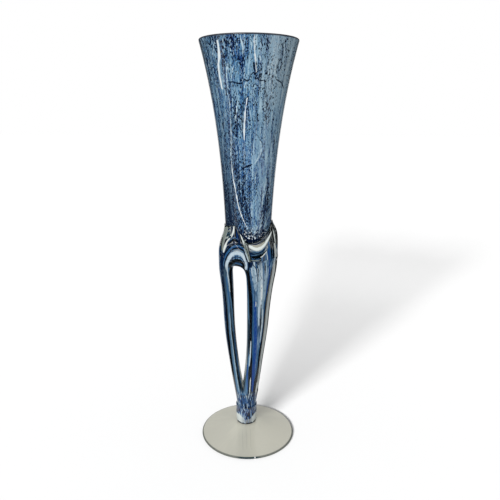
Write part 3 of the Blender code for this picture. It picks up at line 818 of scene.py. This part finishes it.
legGlass = {"black": (0.001, 0.002, 0.003), "navy": (0.003, 0.012, 0.040), "cobalt": (0.008, 0.048, 0.215),
            "slate": (0.030, 0.062, 0.095), "steel": (0.070, 0.155, 0.260), "mist": (0.230, 0.330, 0.410),
            "pale": (0.410, 0.500, 0.560), "cream": (0.640, 0.690, 0.670), "blue": (0.020, 0.080, 0.190),
            "sage": (0.190, 0.225, 0.200), "stone": (0.330, 0.330, 0.280),
            "roughness": 0.20, "gloss": 0.12, "coat": 0.14, "coatRoughness": 0.03, "bandReach": 12.0,
            # heights in mm, from where each feature starts to where it is full
            "innerHeights": (104.0, 84.0), "archHeights": (208.0, 221.0), "mottleHeights": (64.0, 52.0),
            "rimHeights": (62.0, 100.0), "crinkleHeights": (120.0, 210.0)}

# strokes round each arch: half width in mm, then angle from straight up in degrees and distance from the
# arch's middle by turns
archGround = (
    ("navy",
     (5.6, -105.0, 16.0, -64.0, 18.0, -38.0, 21.0, -20.0, 24.0, -1.0, 25.4, 12.0, 24.8, 24.0, 22.2,
      42.0, 18.0, 80.0, 14.5)),)
archStrokes = (
    ("steel",
     (0.6, -90.0, 15.2, -60.0, 16.4, -37.0, 18.9, -19.0, 21.0, -1.0, 21.6, 12.0, 21.0, 24.0, 18.9,
      40.0, 15.8),
     (0.5, -40.0, 20.0, -22.0, 24.4, -5.0, 26.3, 10.0, 25.6, 22.0, 23.2, 34.0, 19.9)),
    ("blue",
     (1.3, -64.1, 16.3, -37.9, 19.2, -20.4, 22.7, -8.3, 24.9, 1.5, 25.4, 11.6, 24.5, 21.7, 22.3,
      35.5, 18.6)),
    ("pale",
     (2.8, -110.0, 12.1, -60.7, 12.4, -37.5, 14.5, -19.3, 17.0, -1.1, 18.3, 13.1, 17.8, 25.5, 15.6,
      42.4, 12.3, 73.4, 9.7, 90.0, 9.2)),
    ("navy",
     (0.7, -98.9, 9.6, -50.4, 11.1, -25.8, 13.0, -3.6, 13.9, 16.1, 13.8, 34.5, 12.0, 64.5, 9.7)),
    ("black",
     (2.8, -100.0, 7.6, -49.1, 8.8, -28.1, 9.6, -4.5, 10.1, 17.8, 10.1, 36.3, 9.3, 70.0, 7.6),
     (0.7, -78.3, 14.1, -48.6, 16.1, -28.4, 19.2, -13.7, 21.9, -0.9, 22.8, 11.5, 22.2, 22.3, 20.1,
      34.6, 17.2, 61.0, 13.4),
     (1.1, -50.0, 19.0, -35.9, 21.3, -23.8, 23.7, -11.3, 26.6, -0.6, 27.4, 9.5, 26.3, 19.5, 24.0,
      30.2, 21.0, 45.2, 17.0, 75.0, 13.6)))

# bands along the left and the right rim of each leg: (distance from the rim in mm, tone)
rimBands = {
    "left": (
        ((0.0, "black"), (1.6, "black"), (2.2, "slate"), (4.6, "steel"), (5.4, "black"), (7.6, "black"),
         (8.6, "blue"), (12.0, "steel")),
        ((0.0, "black"), (1.7, "black"), (2.3, "slate"), (3.6, "steel"), (5.0, "slate"), (7.5, "slate"),
         (9.5, "black"), (12.0, "navy"))),
    "front": (
        ((0.0, "navy"), (1.2, "navy"), (2.2, "slate"), (3.6, "steel"), (4.6, "black"), (7.2, "black"),
         (8.2, "blue"), (12.0, "steel")),
        ((0.0, "black"), (1.0, "black"), (2.0, "slate"), (4.0, "black"), (6.8, "black"), (7.8, "blue"),
         (9.5, "blue"), (12.0, "steel"))),
    "back": (
        ((0.0, "black"), (0.5, "black"), (0.9, "cream"), (2.3, "cream"), (2.9, "black"), (8.5, "black"),
         (10.0, "steel"), (12.0, "blue")),
        ((0.0, "black"), (1.6, "black"), (2.4, "pale"), (3.6, "pale"), (4.6, "slate"), (7.0, "navy"),
         (9.0, "steel"), (12.0, "steel")))}

# strokes on the legs, drawn after the photograph: half width in mm, then height and distance to the
# right by turns
legStrokes = {
    "left": (
        ("navy",
         (2.6, 150.0, -24.6, 160.0, -25.2, 172.0, -26.0, 184.0, -26.9, 196.0, -27.6, 208.0, -28.4,
          222.0, -29.0, 232.0, -29.2),
         (1.6, 46.0, -12.2, 54.5, -13.2, 85.6, -18.6, 105.7, -20.9, 124.2, -22.3, 150.0, -24.4)),
        ("slate",
         (0.5, 166.0, -25.6, 180.0, -26.7, 196.0, -27.9, 212.0, -29.0),
         (1.1, 52.2, -5.6, 67.5, -7.7, 87.1, -11.0, 105.5, -13.5, 123.5, -14.9, 141.7, -16.7,
          160.5, -18.1, 176.6, -19.1, 193.7, -21.1)),
        ("steel",
         (0.9, 136.6, -16.3, 144.1, -16.7, 164.1, -17.9, 175.3, -18.9, 184.0, -20.0, 193.7, -20.9)),
        ("blue",
         (0.9, 67.5, -7.2, 87.1, -10.4, 105.5, -12.9, 123.5, -14.4, 141.7, -16.1),
         (0.9, 169.5, -20.1, 181.6, -21.3, 194.9, -22.9, 205.6, -24.3)),
        ("black",
         (1.1, 160.6, -23.1, 172.5, -24.4, 181.9, -25.4, 193.3, -27.4, 204.3, -28.1),
         (1.9, 40.0, -10.4, 47.0, -11.5, 54.5, -12.8, 66.6, -15.0, 85.6, -17.7, 105.7, -19.9,
          124.2, -21.2, 137.0, -22.4, 152.0, -23.2, 166.7, -24.0),
         (1.5, 127.5, -14.0, 142.9, -15.0, 160.8, -16.0, 175.8, -16.8, 185.8, -17.8, 198.1, -18.9,
          207.6, -19.1, 222.0, -19.5)),
        ("pale",
         (0.8, 186.4, -19.8, 197.3, -20.7, 205.7, -21.7, 213.0, -22.5, 224.4, -22.4)),
        ("mist",
         (0.9, 53.3, -9.1, 67.9, -11.3, 90.4, -14.2, 106.2, -16.0, 124.5, -17.7, 139.8, -19.3,
          152.3, -20.0, 162.2, -20.6)),
        ("black",
         (0.8, 90.1, -12.4, 105.8, -14.4, 124.2, -16.6, 137.2, -18.1, 147.1, -18.2))),
    "front": (
        ("mist",
         (4.4, 158.4, 13.5, 165.6, 13.8, 175.3, 14.0, 187.4, 13.8, 199.6, 13.7, 211.4, 13.3, 228.7, 13.0),
         (2.8, 192.0, 8.8, 206.0, 7.4, 216.0, 6.4, 230.0, 5.8),
         (2.0, 178.0, 17.6, 186.0, 18.2, 200.0, 18.9, 214.0, 19.2, 231.0, 19.0),
         (1.2, 48.0, 12.6, 58.0, 13.2, 72.0, 14.4, 86.0, 15.6)),
        ("steel",
         (1.3, 58.0, -1.0, 69.5, -1.3, 83.5, -0.8, 97.4, 0.5, 113.9, 2.1)),
        ("cobalt",
         (2.5, 60.0, 5.3, 77.5, 6.2, 94.3, 7.0, 110.6, 8.0, 129.2, 8.6, 149.4, 8.7, 166.6, 8.1,
          181.1, 7.6),
         (1.0, 185.7, 20.4, 195.2, 21.6, 207.2, 22.8, 220.6, 23.3, 231.0, 23.2),
         (0.9, 63.8, -0.1, 75.3, -0.6, 89.0, -0.4, 100.1, 0.3)),
        ("pale",
         (1.8, 163.3, 13.4, 172.9, 14.0, 184.9, 14.3, 197.0, 14.8, 208.9, 14.7, 226.0, 14.1),
         (0.8, 200.0, 10.0, 208.4, 9.1, 216.5, 8.0, 223.3, 6.9, 230.0, 6.4),
         (0.7, 204.0, 12.4, 211.0, 11.4, 219.0, 10.2),
         (0.6, 206.0, 19.6, 213.0, 19.8, 222.0, 19.7),
         (0.5, 205.0, 5.2, 215.6, 4.2, 222.3, 3.4, 230.0, 3.0),
         (1.0, 148.7, 12.5, 161.1, 12.1, 173.3, 12.0),
         (1.1, 127.8, 13.8, 140.4, 15.0, 155.1, 16.2, 169.7, 16.7),
         (0.9, 97.6, 1.7, 111.3, 2.8, 124.6, 3.4, 132.0, 3.6)),
        ("black",
         (1.6, 167.0, 3.7, 176.6, 4.3, 186.2, 3.6, 198.2, 2.2, 207.6, 1.3, 216.8, 0.9, 228.5, 0.7),
         (0.6, 203.6, 10.8, 209.4, 11.2, 215.1, 11.6, 220.8, 10.5, 225.2, 11.6, 231.0, 10.6),
         (0.6, 210.6, 10.4, 216.4, 9.3, 219.9, 8.0, 222.2, 5.9, 226.0, 5.2, 231.0, 5.6),
         (0.8, 211.6, 18.6, 218.5, 18.5, 224.2, 18.2),
         (1.0, 140.8, 13.9, 153.2, 14.4, 165.5, 14.5, 175.2, 14.6),
         (1.0, 84.2, 11.2, 95.3, 12.1, 109.1, 12.9, 120.9, 14.3, 132.1, 16.3),
         (0.8, 48.9, 1.8, 60.8, 1.3, 72.5, 1.3, 83.8, 1.5),
         (0.7, 96.7, -1.1, 110.6, -0.2, 126.6, 0.5, 144.5, 0.7, 159.3, 0.6)),
        ("cream",
         (1.1, 46.0, 8.6, 54.7, 9.4, 63.2, 10.4, 72.7, 11.2),
         (0.6, 52.0, 2.1, 57.7, 2.3, 72.3, 2.9, 82.0, 3.5),
         # the short stroke at about 177 mm is a painted glint
         (0.6, 173.8, 8.9, 176.8, 8.9, 179.8, 8.7),
         (0.9, 179.9, 15.0, 189.5, 15.4, 199.3, 15.0))),
    "back": ()}


def archPlace(tree, height, wobble):
    # angle from straight up and distance from the middle of the nearest arch, in degrees and mm
    sideways = attribute(tree, "archAcross") - archMiddle["across"]
    upwards = height - archMiddle["height"]
    angle = maths("ARCTAN2", sideways, upwards) * (180 / math.pi)
    return angle, maths("SQRT", sideways * sideways + upwards * upwards) + wobble


def mottleColour(around, values):
    # short slanting streaks of cobalt, black and white
    slant = around.height * 0.008 + around.outX
    specks = noiseAt(joined(slant * 9.0, around.outY * 9.0, around.height * 0.10), 3.0, 0.65, 0.9)
    return colourSteps(specks, values, ((0.42, "black"), (0.46, "navy"), (0.49, "cobalt"), (0.53, "blue"),
                                        (0.57, "steel"), (0.61, "pale")))


def makeLegMaterial(name, seed, values):
    material, tree, shader = newMaterial(name + "StreakyGlass")
    around = aroundAxis(tree)
    height, outX = around.height, around.outX
    across, reach = attribute(tree, "acrossLeg"), attribute(tree, "rimReach")

    def streaks(acrossScale, alongScale, *settings):
        return noiseAt(joined(across * acrossScale, seed, height * alongScale), *settings)

    slow = streaks(2.0, 0.022)
    fine = streaks(30.0, 0.05, 3.0, 0.6)
    specks = streaks(34.0, 0.30, 2.0, 0.6, 0.6)
    # long streaks over the middle of the leg
    panel = colourSteps(fine * 0.7 + slow * 0.3, values, ((0.36, "black"), (0.42, "navy"), (0.47, "blue"),
                                                          (0.52, "steel"), (0.59, "mist"), (0.68, "pale")))
    # bands that follow the rims of the openings
    distance = maths("ABSOLUTE", reach / mm) * rangeTo(height, *values["rimHeights"], 0.6, 1.0)
    unsteady = (slow - 0.5) * 2.5 + (fine - 0.5) * 1.6
    distance = unsteady * rangeTo(distance, 0.5, 5.0, 0.15, 1.0) + distance
    widest = values["bandReach"]
    bands = [colourSteps(distance / widest, values, [(place / widest, tone) for place, tone in side])
             for side in rimBands[name]]
    bands = blendColour(rangeTo(across, 0.49, 0.51), *bands)
    colour = blendColour(rangeTo(distance, 8.0, 11.0), bands, panel)
    colour = blendColour(rangeTo(fine, 0.36, 0.30, 0.0, 0.8), colour, values["navy"])
    # pale thick glass shows inside, low in the openings
    inside = rangeTo(reach, 0.0, -0.5 * mm) * rangeTo(height, *values["innerHeights"])
    colour = blendColour(inside, colour, values["cream"])
    # strokes only on the side that faces the front
    facing = rangeTo(around.outY, 0.16, 0.04)
    sway = (specks - 0.5) * 1.2
    colour = paintStrokes(colour, values, legStrokes[name], height, around.x + sway, worn=facing)
    # crinkles, strongest near the crown
    crinkled = facing * rangeTo(height, *values["crinkleHeights"], 0.35, 0.75) * rangeTo(distance, 6.5, 10.0)
    colour = blendColour(rangeTo(specks, 0.42, 0.37) * crinkled, colour, values["navy"])
    colour = blendColour(rangeTo(specks, 0.58, 0.64) * crinkled * 0.5, colour, values["mist"])
    angle, middleDistance = archPlace(tree, height, sway)
    above = rangeTo(height, *values["archHeights"])
    leftwards = rangeTo(outX, 0.50, 0.42) * above
    colour = paintStrokes(colour, values, archGround, angle, middleDistance, worn=leftwards)
    colour = paintStrokes(colour, values, archStrokes, angle, middleDistance, worn=above)
    # mottled where the legs meet at the bottom
    low = rangeTo(height, *values["mottleHeights"]) * rangeTo(maths("ABSOLUTE", outX), 0.82, 0.93, 1.0, 0.15)
    colour = blendColour(low * 0.85, colour, mottleColour(around, values))
    finishGlass(shader, colour, values)
    return material


print("legs")
for legName, leftArch, rightArch, seed in (("left", "rearArch", "leftArch", 3.0),
                                           ("front", "leftArch", "rightArch", 8.0),
                                           ("back", "rightArch", "rearArch", 15.0)):
    points, faces, layers = legMesh(stemShape[leftArch], stemShape[rightArch], stemShape)
    leg = pieceFrom(legName + "LegGlass", points, faces, makeLegMaterial(legName, seed, legGlass), layers)
    keepPiece(leg, "leg_blue", legName + "_leg")


# Crown of clear glass round the bottom of the bowl

crownShape = {"collar": 1.0, "edge": 0.7, "bossDepth": 6.0, "bossInset": 0.8, "scoopPower": 1.6,
              "steps": 360, "shoulderRows": 60, "seatRows": 14, "bossRows": 6,
              # bearing, rise above the legs and fullness of each scoop and peak, round from the left scoop
              "stations": ((-82.0, 34.0, 1.2), (-31.0, 37.5, 1.5), (5.0, 19.0, 1.4),
                           (80.0, 40.5, 3.2), (142.0, 24.0, 1.4), (208.0, 36.5, 1.8), (278.0, 34.0, 1.2))}


def crownAt(bearing):
    stations = crownShape["stations"]
    for index in range(len(stations) - 1):
        start, end = stations[index], stations[index + 1]
        if start[0] <= bearing <= end[0]:
            scoop, peak = (start, end) if index % 2 == 0 else (end, start)
            climb = (abs(bearing - scoop[0]) / abs(peak[0] - scoop[0])) ** crownShape["scoopPower"]
            rise, fullness = (low + (high - low) * climb for low, high in zip(scoop[1:], peak[1:]))
            return stemTop + rise * mm, fullness
    return stemTop + stations[0][1] * mm, stations[0][2]


def crownSection(bearing):
    # (radius, height) from the underside up the shoulder, over the edge and down the seat
    top, fullness = crownAt(bearing)
    underside = crownLow.z + crownShape["bossDepth"] * mm
    boss = stemRadius(stemTop, "innerShares") - crownShape["bossInset"] * mm
    section = []
    for row in range(1, crownShape["bossRows"] + 1):
        turn = math.pi / 2 * row / crownShape["bossRows"]
        section.append((boss * math.sin(turn), underside - crownShape["bossDepth"] * mm * math.cos(turn)))
    section.append((stemTopRadius, underside))
    start = stemTop + crownShape["collar"] * mm
    edgeRadius = bowlRadius(top) + seatGap + crownShape["edge"] * mm
    for row in range(crownShape["shoulderRows"] + 1):
        share = row / crownShape["shoulderRows"]
        fall = (1 - math.cos(math.pi * share ** fullness)) / 2
        section.append((stemTopRadius - (stemTopRadius - edgeRadius) * fall, start + (top - start) * share))
    seatTop = top - crownShape["edge"] * mm / 2
    bottomDepth = bowlCornerHeight - bowlLow.z + seatGap
    for row in range(crownShape["seatRows"]):
        height = seatTop - (seatTop - bowlLow.z + seatGap) * (row / crownShape["seatRows"]) ** 0.8
        if height >= bowlCornerHeight:
            section.append((bowlRadius(height) + seatGap, height))
        else:
            depth = (bowlCornerHeight - height) / bottomDepth
            section.append(((bowlCorner + seatGap) * math.sqrt(max(1 - depth ** 2, 0.0)), height))
    return section


def crownMesh(values):
    points, rings, core, archAcross = [], [], [], []
    firstShoulder = values["bossRows"] + 1
    lastShoulder = firstShoulder + values["shoulderRows"]
    arches = [stemShape[key] for key in ("leftArch", "rightArch", "rearArch")]
    for step in range(values["steps"]):
        bearing = values["stations"][0][0] + 360 * step / values["steps"]
        turn = math.radians(bearing)
        nearest = min(arches, key=lambda arch: abs((bearing - arch + 180) % 360 - 180))
        lookTurn = math.radians(bearing - nearest - archMiddle["lookFrom"])
        ring = []
        for index, (radius, height) in enumerate(crownSection(bearing)):
            if firstShoulder - 1 <= index <= lastShoulder:
                radius += swellAt(height, turn)
            ring.append(len(points))
            points.append((radius * math.sin(turn), -radius * math.cos(turn), height))
            core.append(1.0 if index < firstShoulder or index > lastShoulder + 2 else 0.0)
            archAcross.append(radius * math.sin(lookTurn) / mm)
        rings.append(ring)
    bottomPole, seatPole = len(points), len(points) + 1
    points += [(0.0, 0.0, crownLow.z), (0.0, 0.0, bowlLow.z - seatGap)]
    core += [1.0, 1.0]
    archAcross += [0.0, 0.0]
    faces = []
    for ring, after in zip(rings, rings[1:] + rings[:1]):
        faces.append((bottomPole, after[0], ring[0]))
        for index in range(len(ring) - 1):
            faces.append((ring[index], after[index], after[index + 1], ring[index + 1]))
        faces.append((ring[-1], after[-1], seatPole))
    return points, faces, {"core": core, "archAcross": archAcross}


clearGlass = {"tint": (0.90, 0.94, 0.91), "shadowTint": (0.80, 0.84, 0.82), "roughness": 0.05, "ior": 1.5,
              "buttonClear": 0.10,
              # heights in mm where the crown's dark whorls start and are full, and its streaks likewise
              "whorlHeights": (240.0, 247.0), "streakHeights": (250.0, 244.0)}

# strokes on the front of the crown, drawn after the photograph: half width in mm, then height and
# distance to the right by turns
crownUpStrokes = (
    ("navy",
     (2.8, 243.0, -14.2, 249.0, -15.0, 256.0, -16.4, 262.0, -17.4),
     (2.0, 245.0, -7.9, 250.0, -9.7, 255.1, -11.4, 260.3, -12.6)),
    ("sage",
     (2.4, 234.2, -28.4, 241.5, -27.8, 247.8, -26.3, 253.3, -24.5, 260.0, -22.4),
     (1.9, 220.0, 3.0, 226.8, 1.9, 231.5, 0.7, 237.4, -1.1, 242.8, -3.4, 250.5, -7.8)),
    ("pale",
     (0.6, 222.0, 1.6, 226.8, 0.5, 230.5, -0.5, 235.6, -2.3, 240.4, -4.5),
     (0.7, 222.0, 21.4, 232.6, 20.4, 238.4, 19.0)),
    ("cobalt",
     (1.0, 246.0, -10.4, 250.6, -11.5, 255.5, -12.6, 261.3, -14.0)),
    ("blue",
     (2.4, 220.0, 24.2, 231.9, 23.5, 238.5, 22.8, 245.6, 21.8)),
    ("cobalt",
     (0.9, 220.0, 23.0, 231.9, 22.4, 238.5, 21.8)),
    # the cream strokes are painted highlights, where the clear glass shows the white behind it
    ("cream",
     (1.8, 232.6, -26.5, 239.1, -24.9, 244.4, -22.4, 249.5, -19.6),
     (1.0, 250.5, -17.8, 256.8, -15.7, 262.5, -14.9),
     (0.9, 243.2, -4.0, 247.2, -5.3, 250.3, -6.6, 254.5, -8.4),
     (1.6, 218.0, 31.0, 229.3, 30.2, 236.5, 29.5, 243.6, 28.1),
     (0.9, 242.7, 29.4, 250.4, 28.1, 256.8, 26.8)),
    ("black",
     (0.7, 219.5, 0.8, 224.0, 0.6, 229.0, -1.3, 232.5, -2.5, 238.0, -5.0),
     (1.4, 246.0, -11.4, 252.0, -12.8, 257.1, -13.4, 262.4, -13.8),
     (1.1, 244.5, -5.8, 248.9, -7.5, 253.0, -8.8, 257.5, -10.4),
     (0.9, 220.0, 4.8, 226.4, 3.7, 235.1, 1.9, 242.6, -0.9),
     (0.4, 224.0, 2.9, 229.0, 1.7, 234.0, 0.3, 240.0, -1.9, 246.0, -4.8),
     (1.1, 220.0, 26.4, 235.8, 25.2, 243.3, 24.3, 249.3, 23.3),
     (1.7, 242.5, 28.1, 250.7, 26.5, 256.6, 25.5, 262.2, 24.4),
     (1.4, 238.0, 32.0, 244.1, 31.5, 252.6, 30.8, 258.7, 29.3, 264.5, 26.4),
     (1.2, 218.0, 28.2, 229.4, 27.7, 236.3, 27.3, 243.9, 26.2),
     (1.0, 220.0, 33.0, 233.8, 32.8, 242.2, 32.0),
     (1.0, 220.0, -30.6, 231.4, -29.9, 239.0, -29.3, 247.3, -27.6)))
# strokes across the front of the crown: half width in mm, then distance to the right and height by turns
crownSideStrokes = (
    ("navy",
     (1.2, 0.2, 242.4, 4.8, 243.1, 9.1, 243.7, 13.3, 245.6, 17.6, 249.2, 22.3, 253.9),
     (3.0, 1.0, 236.0, 2.8, 235.0, 7.0, 234.0, 11.2, 234.6, 15.5, 237.0, 19.0, 240.5),
     (3.6, -23.0, 241.5, -19.5, 246.0, -14.5, 249.0, -9.8, 246.5, -7.0, 243.0)),
    ("steel",
     (0.5, -21.5, 244.6, -18.0, 248.6, -14.4, 250.6, -10.6, 249.0),
     (0.5, 2.2, 238.6, 6.0, 236.9, 11.0, 236.2, 16.0, 238.6, 20.0, 242.6),
     (0.4, 3.0, 233.6, 7.0, 233.0, 11.5, 234.0, 15.5, 236.2)),
    # a painted highlight: the cream crescent where the clear scoop shows the white behind it
    ("cream",
     (3.2, 0.6, 241.9, 5.4, 240.2, 10.7, 239.6, 16.0, 241.8, 20.4, 246.5, 25.4, 254.4)),
    ("stone",
     (1.7, 4.4, 242.4, 9.5, 241.6, 13.7, 242.7, 18.6, 246.0)),
    ("slate",
     (0.9, 1.7, 237.4, 5.9, 235.4, 10.9, 233.9, 16.2, 236.0, 20.0, 240.8, 24.0, 248.4)),
    ("black",
     (1.6, -20.6, 242.4, -17.5, 246.5, -14.7, 248.3, -10.5, 246.2),
     (2.3, 3.6, 231.6, 8.1, 230.9, 12.3, 231.6, 16.6, 233.9, 20.4, 237.4)),
    ("sage",
     (0.7, 3.6, 228.2, 8.7, 227.4, 14.0, 228.6)),
    ("slate",
     (0.6, 4.6, 226.4, 9.7, 225.8, 15.0, 226.8)),
    # a painted highlight
    ("cream",
     (0.9, 13.4, 230.4, 17.2, 232.9, 20.2, 236.6)))


def makeCrownGlass(values, tones):
    # blue streaks run up from the legs into the clear glass, and the glass is clear above them
    material, tree, shader = newMaterial("clearCrownGlass")
    around = aroundAxis(tree)
    height = around.height
    fine = noiseAt(streakPlace(around, 22.0, 0.03, 4.0), 3.0, 0.6, 0.5)
    slow = noiseAt(streakPlace(around, 3.0, 0.05, 8.0))
    colour = colourSteps(fine * 0.7 + slow * 0.3, tones, ((0.36, "black"), (0.43, "navy"), (0.49, "blue"),
                                                          (0.54, "steel"), (0.62, "mist")))
    # dark and light whorls of the clear glass over the streaks
    colour = blendColour(rangeTo(slow * 14.0 + height, *values["whorlHeights"]), colour, tones["slate"])
    streaked = rangeTo(slow * 16.0 + height, *values["streakHeights"])
    painted = maths("MAXIMUM", streaked, attribute(tree, "core"))
    facing = rangeTo(around.outY, -0.02, -0.20)
    leftwards = rangeTo(around.outX, 0.50, 0.42)
    sway = (fine - 0.5) * 1.4
    angle, distance = archPlace(tree, height, sway)
    covers = []
    for strokes, along, across, worn in ((archGround, angle, distance, leftwards),
                                         (archStrokes, angle, distance, None),
                                         (crownUpStrokes, height, around.x + sway, facing),
                                         (crownSideStrokes, around.x, height + sway, facing)):
        colour = paintStrokes(colour, tones, strokes, along, across, worn=worn, covers=covers)
    for cover in covers:
        painted = maths("MAXIMUM", painted, cover)
    colour = blendColour(painted, values["tint"], colour)
    fill(shader, {"Base Color": colour, "Transmission Weight": 1.0 - painted,
                  "Roughness": values["roughness"], "IOR": values["ior"]})
    lampsPassThrough(shader, values["shadowTint"])
    return material


print("crown")
points, faces, layers = crownMesh(crownShape)
crown = pieceFrom("crownGlass", points, faces, makeCrownGlass(clearGlass, legGlass), layers)
keepPiece(crown, "clear_glass", "crown")


# Button, a clear bead that the legs stand in

buttonShape = {"wall": 2.8, "neck": 0.8, "lipWall": 0.9, "lipSteps": 8,
               "socketRows": 14, "beadRows": 28, "steps": 96}


def buttonProfile(values):
    socketFloor = toeHeight - seatGap
    lip = buttonHigh.z
    foot = buttonLow.z
    inside = []
    for row in range(values["socketRows"] + 1):
        height = socketFloor + (lip - socketFloor) * row / values["socketRows"]
        inside.append((stemRadius(height, "outerShares") + seatGap, height))
    lipRound = values["lipWall"] * mm / 2
    lipMiddle = inside[-1][0] + lipRound
    lipRadius = inside[-1][0] + values["lipWall"] * mm
    inside[-1] = (inside[-1][0], lip - lipRound)
    inside += roundedTurn(lipMiddle, lip - lipRound, lipRound, 180, 0, values["lipSteps"])[1:-1]
    widest = stemRadius(toeHeight, "outerShares") + values["wall"] * mm
    outside = [(lipRadius, lip - values["lipWall"] * mm)]
    for row in range(1, values["beadRows"] + 1):
        share = row / values["beadRows"]
        straight = lipRadius + (widest - values["neck"] * mm - lipRadius) * share
        swell = math.sin(share * math.pi) ** 2
        outside.append((straight + (widest - straight) * swell, lip - (lip - foot) * share))
    return [(0.0, socketFloor)] + inside + outside + [(0.0, foot)]


def makeButtonGlass(values, tones):
    # clear bead: the mottled ends of the legs fill it, with a pale ring round its bottom, thick glass with a
    # painted highlight at the left and right
    material, tree, shader = newMaterial("clearButtonGlass")
    around = aroundAxis(tree)
    low = buttonLow.z / mm
    colour = mottleColour(around, tones)
    lifted = (noiseAt(joined(around.outX * 3.0, around.outY, 2.0)) - 0.5) * 6.0 + around.height
    # painted highlight: the pale ring is strongest at the sides
    sides = rangeTo(maths("ABSOLUTE", around.outX), 0.20, 0.70)
    ring = rangeTo(lifted - (sides * 5.0 + (low + 7.0)), 1.0, -1.0) * rangeTo(lifted, low + 1.0, low + 2.6)
    colour = blendColour(ring * (sides * 0.60 + 0.30), colour, tones["cream"])
    colour = blendColour(rangeTo(lifted, low + 2.4, low + 1.2, 0.0, 0.8), colour, tones["black"])
    fill(shader, {"Base Color": colour, "Transmission Weight": values["buttonClear"],
                  "Roughness": values["roughness"], "IOR": values["ior"]})
    lampsPassThrough(shader, values["shadowTint"])
    return material


print("button")
button = turnedPiece("buttonGlass", buttonProfile(buttonShape), buttonShape["steps"],
                     makeButtonGlass(clearGlass, legGlass), leanAt(toeHeight))
keepPiece(button, "clear_glass", "button")


# Foot

footShape = {"edgeThickness": 2.6, "padRadius": 13.8, "hollowHeight": 9.0, "restRing": 8.5,
             "pontilRadius": 8.5, "pontilDepth": 1.2, "coneHollow": 1.15, "coneRows": 30, "hollowRows": 24,
             "edgeSteps": 12, "steps": 192}


def footProfile(values):
    edgeRound = values["edgeThickness"] * mm / 2
    edgeMiddle = footRadius - edgeRound
    pad = values["padRadius"] * mm
    top = footHigh.z
    points = [(0.0, top), (pad, top)]
    for row in range(1, values["coneRows"] + 1):
        share = row / values["coneRows"]
        drop = 1 - (1 - share) ** values["coneHollow"]
        points.append((pad + (edgeMiddle - pad) * share, top - (top - 2 * edgeRound) * drop))
    points += roundedTurn(edgeMiddle, edgeRound, edgeRound, 90, -90, values["edgeSteps"])[1:]
    ring = edgeMiddle - values["restRing"] * mm
    hollow = values["hollowHeight"] * mm
    pontil = values["pontilRadius"] * mm
    points.append((ring, 0.0))
    for row in range(1, values["hollowRows"] + 1):
        share = row / values["hollowRows"]
        points.append((ring - (ring - pontil) * share, hollow * math.sin(share * math.pi / 2)))
    points.append((pontil / 2, hollow + values["pontilDepth"] * mm * 0.75))
    points.append((0.0, hollow + values["pontilDepth"] * mm))
    return points


footGlass = {"pearl": (0.730, 0.718, 0.610), "shade": (0.680, 0.672, 0.574), "edge": (0.150, 0.170, 0.150),
             "glint": (0.900, 0.920, 0.900), "deep": (0.010, 0.045, 0.055), "seed": (0.660, 0.650, 0.580),
             "roughness": 0.18, "ior": 1.5, "clearness": 0.12, "flatness": 2.0}

# faint upright lines where the stem mirrors in the foot: half width in mm, then distance back and distance
# to the right by turns
footLines = (
    ("edge",
     (0.9, -46.0, -4.6, -36.0, -5.2, -18.0, -6.2),
     (0.7, -44.0, -0.2, -34.0, -0.6, -18.0, -1.4),
     (0.8, -42.0, 4.2, -32.0, 4.0, -18.0, 3.6)),)


def makeFootGlass(values):
    material, tree, shader = newMaterial("palePearlFootGlass")
    around = aroundAxis(tree)
    radius, degrees = around.radius, around.degrees
    outside = footRadius / mm
    cloud = noiseAt(streakPlace(around, 1.4, 0.05), 3.0)
    rays = noiseAt(streakPlace(around, 14.0, 0.02, 6.0))
    colour = blendColour(rangeTo(cloud * 0.85 + rays * 0.15, 0.60, 0.40), values["pearl"], values["shade"])
    spots = noiseAt(around.place, 1.0, scale=0.45 / mm)
    colour = blendColour(rangeTo(spots, 0.74, 0.78), colour, values["seed"])
    colour = paintStrokes(colour, values, footLines, around.y, around.x, worn=0.10)
    colour = blendColour(rangeTo(radius, outside - 1.9, outside - 0.9, 0.0, 0.85), colour, values["edge"])
    # dark in the front of the rim, with one glint
    for tone, bearing, far, near, start, full in (("deep", 2.0, 16.0, 9.0, 1.0, 0.4),
                                                  ("glint", 9.5, 1.1, 0.5, 1.6, 1.0)):
        beside = rangeTo(maths("ABSOLUTE", degrees - bearing), far, near)
        colour = blendColour(beside * rangeTo(radius, outside - start, outside - full), colour, values[tone])
    # clear glass shows the flat table through it, so the cone is shaded flatter than it is
    x, y, z = apart(Flow(tree.nodes.new("ShaderNodeNewGeometry").outputs["Normal"]))
    flatter = joined(x, y, maths("SIGN", z) * values["flatness"] + z)
    unit = nodeFor("ShaderNodeVectorMath", flatter)
    unit.operation = "NORMALIZE"
    fill(unit, {0: flatter})
    fill(shader, {"Base Color": colour, "Roughness": values["roughness"], "IOR": values["ior"],
                  "Transmission Weight": values["clearness"], "Normal": Flow(unit.outputs[0])})
    return material


print("foot")
foot = turnedPiece("footGlass", footProfile(footShape), footShape["steps"], makeFootGlass(footGlass))
keepPiece(foot, "foot_clear", "foot")

print("done")
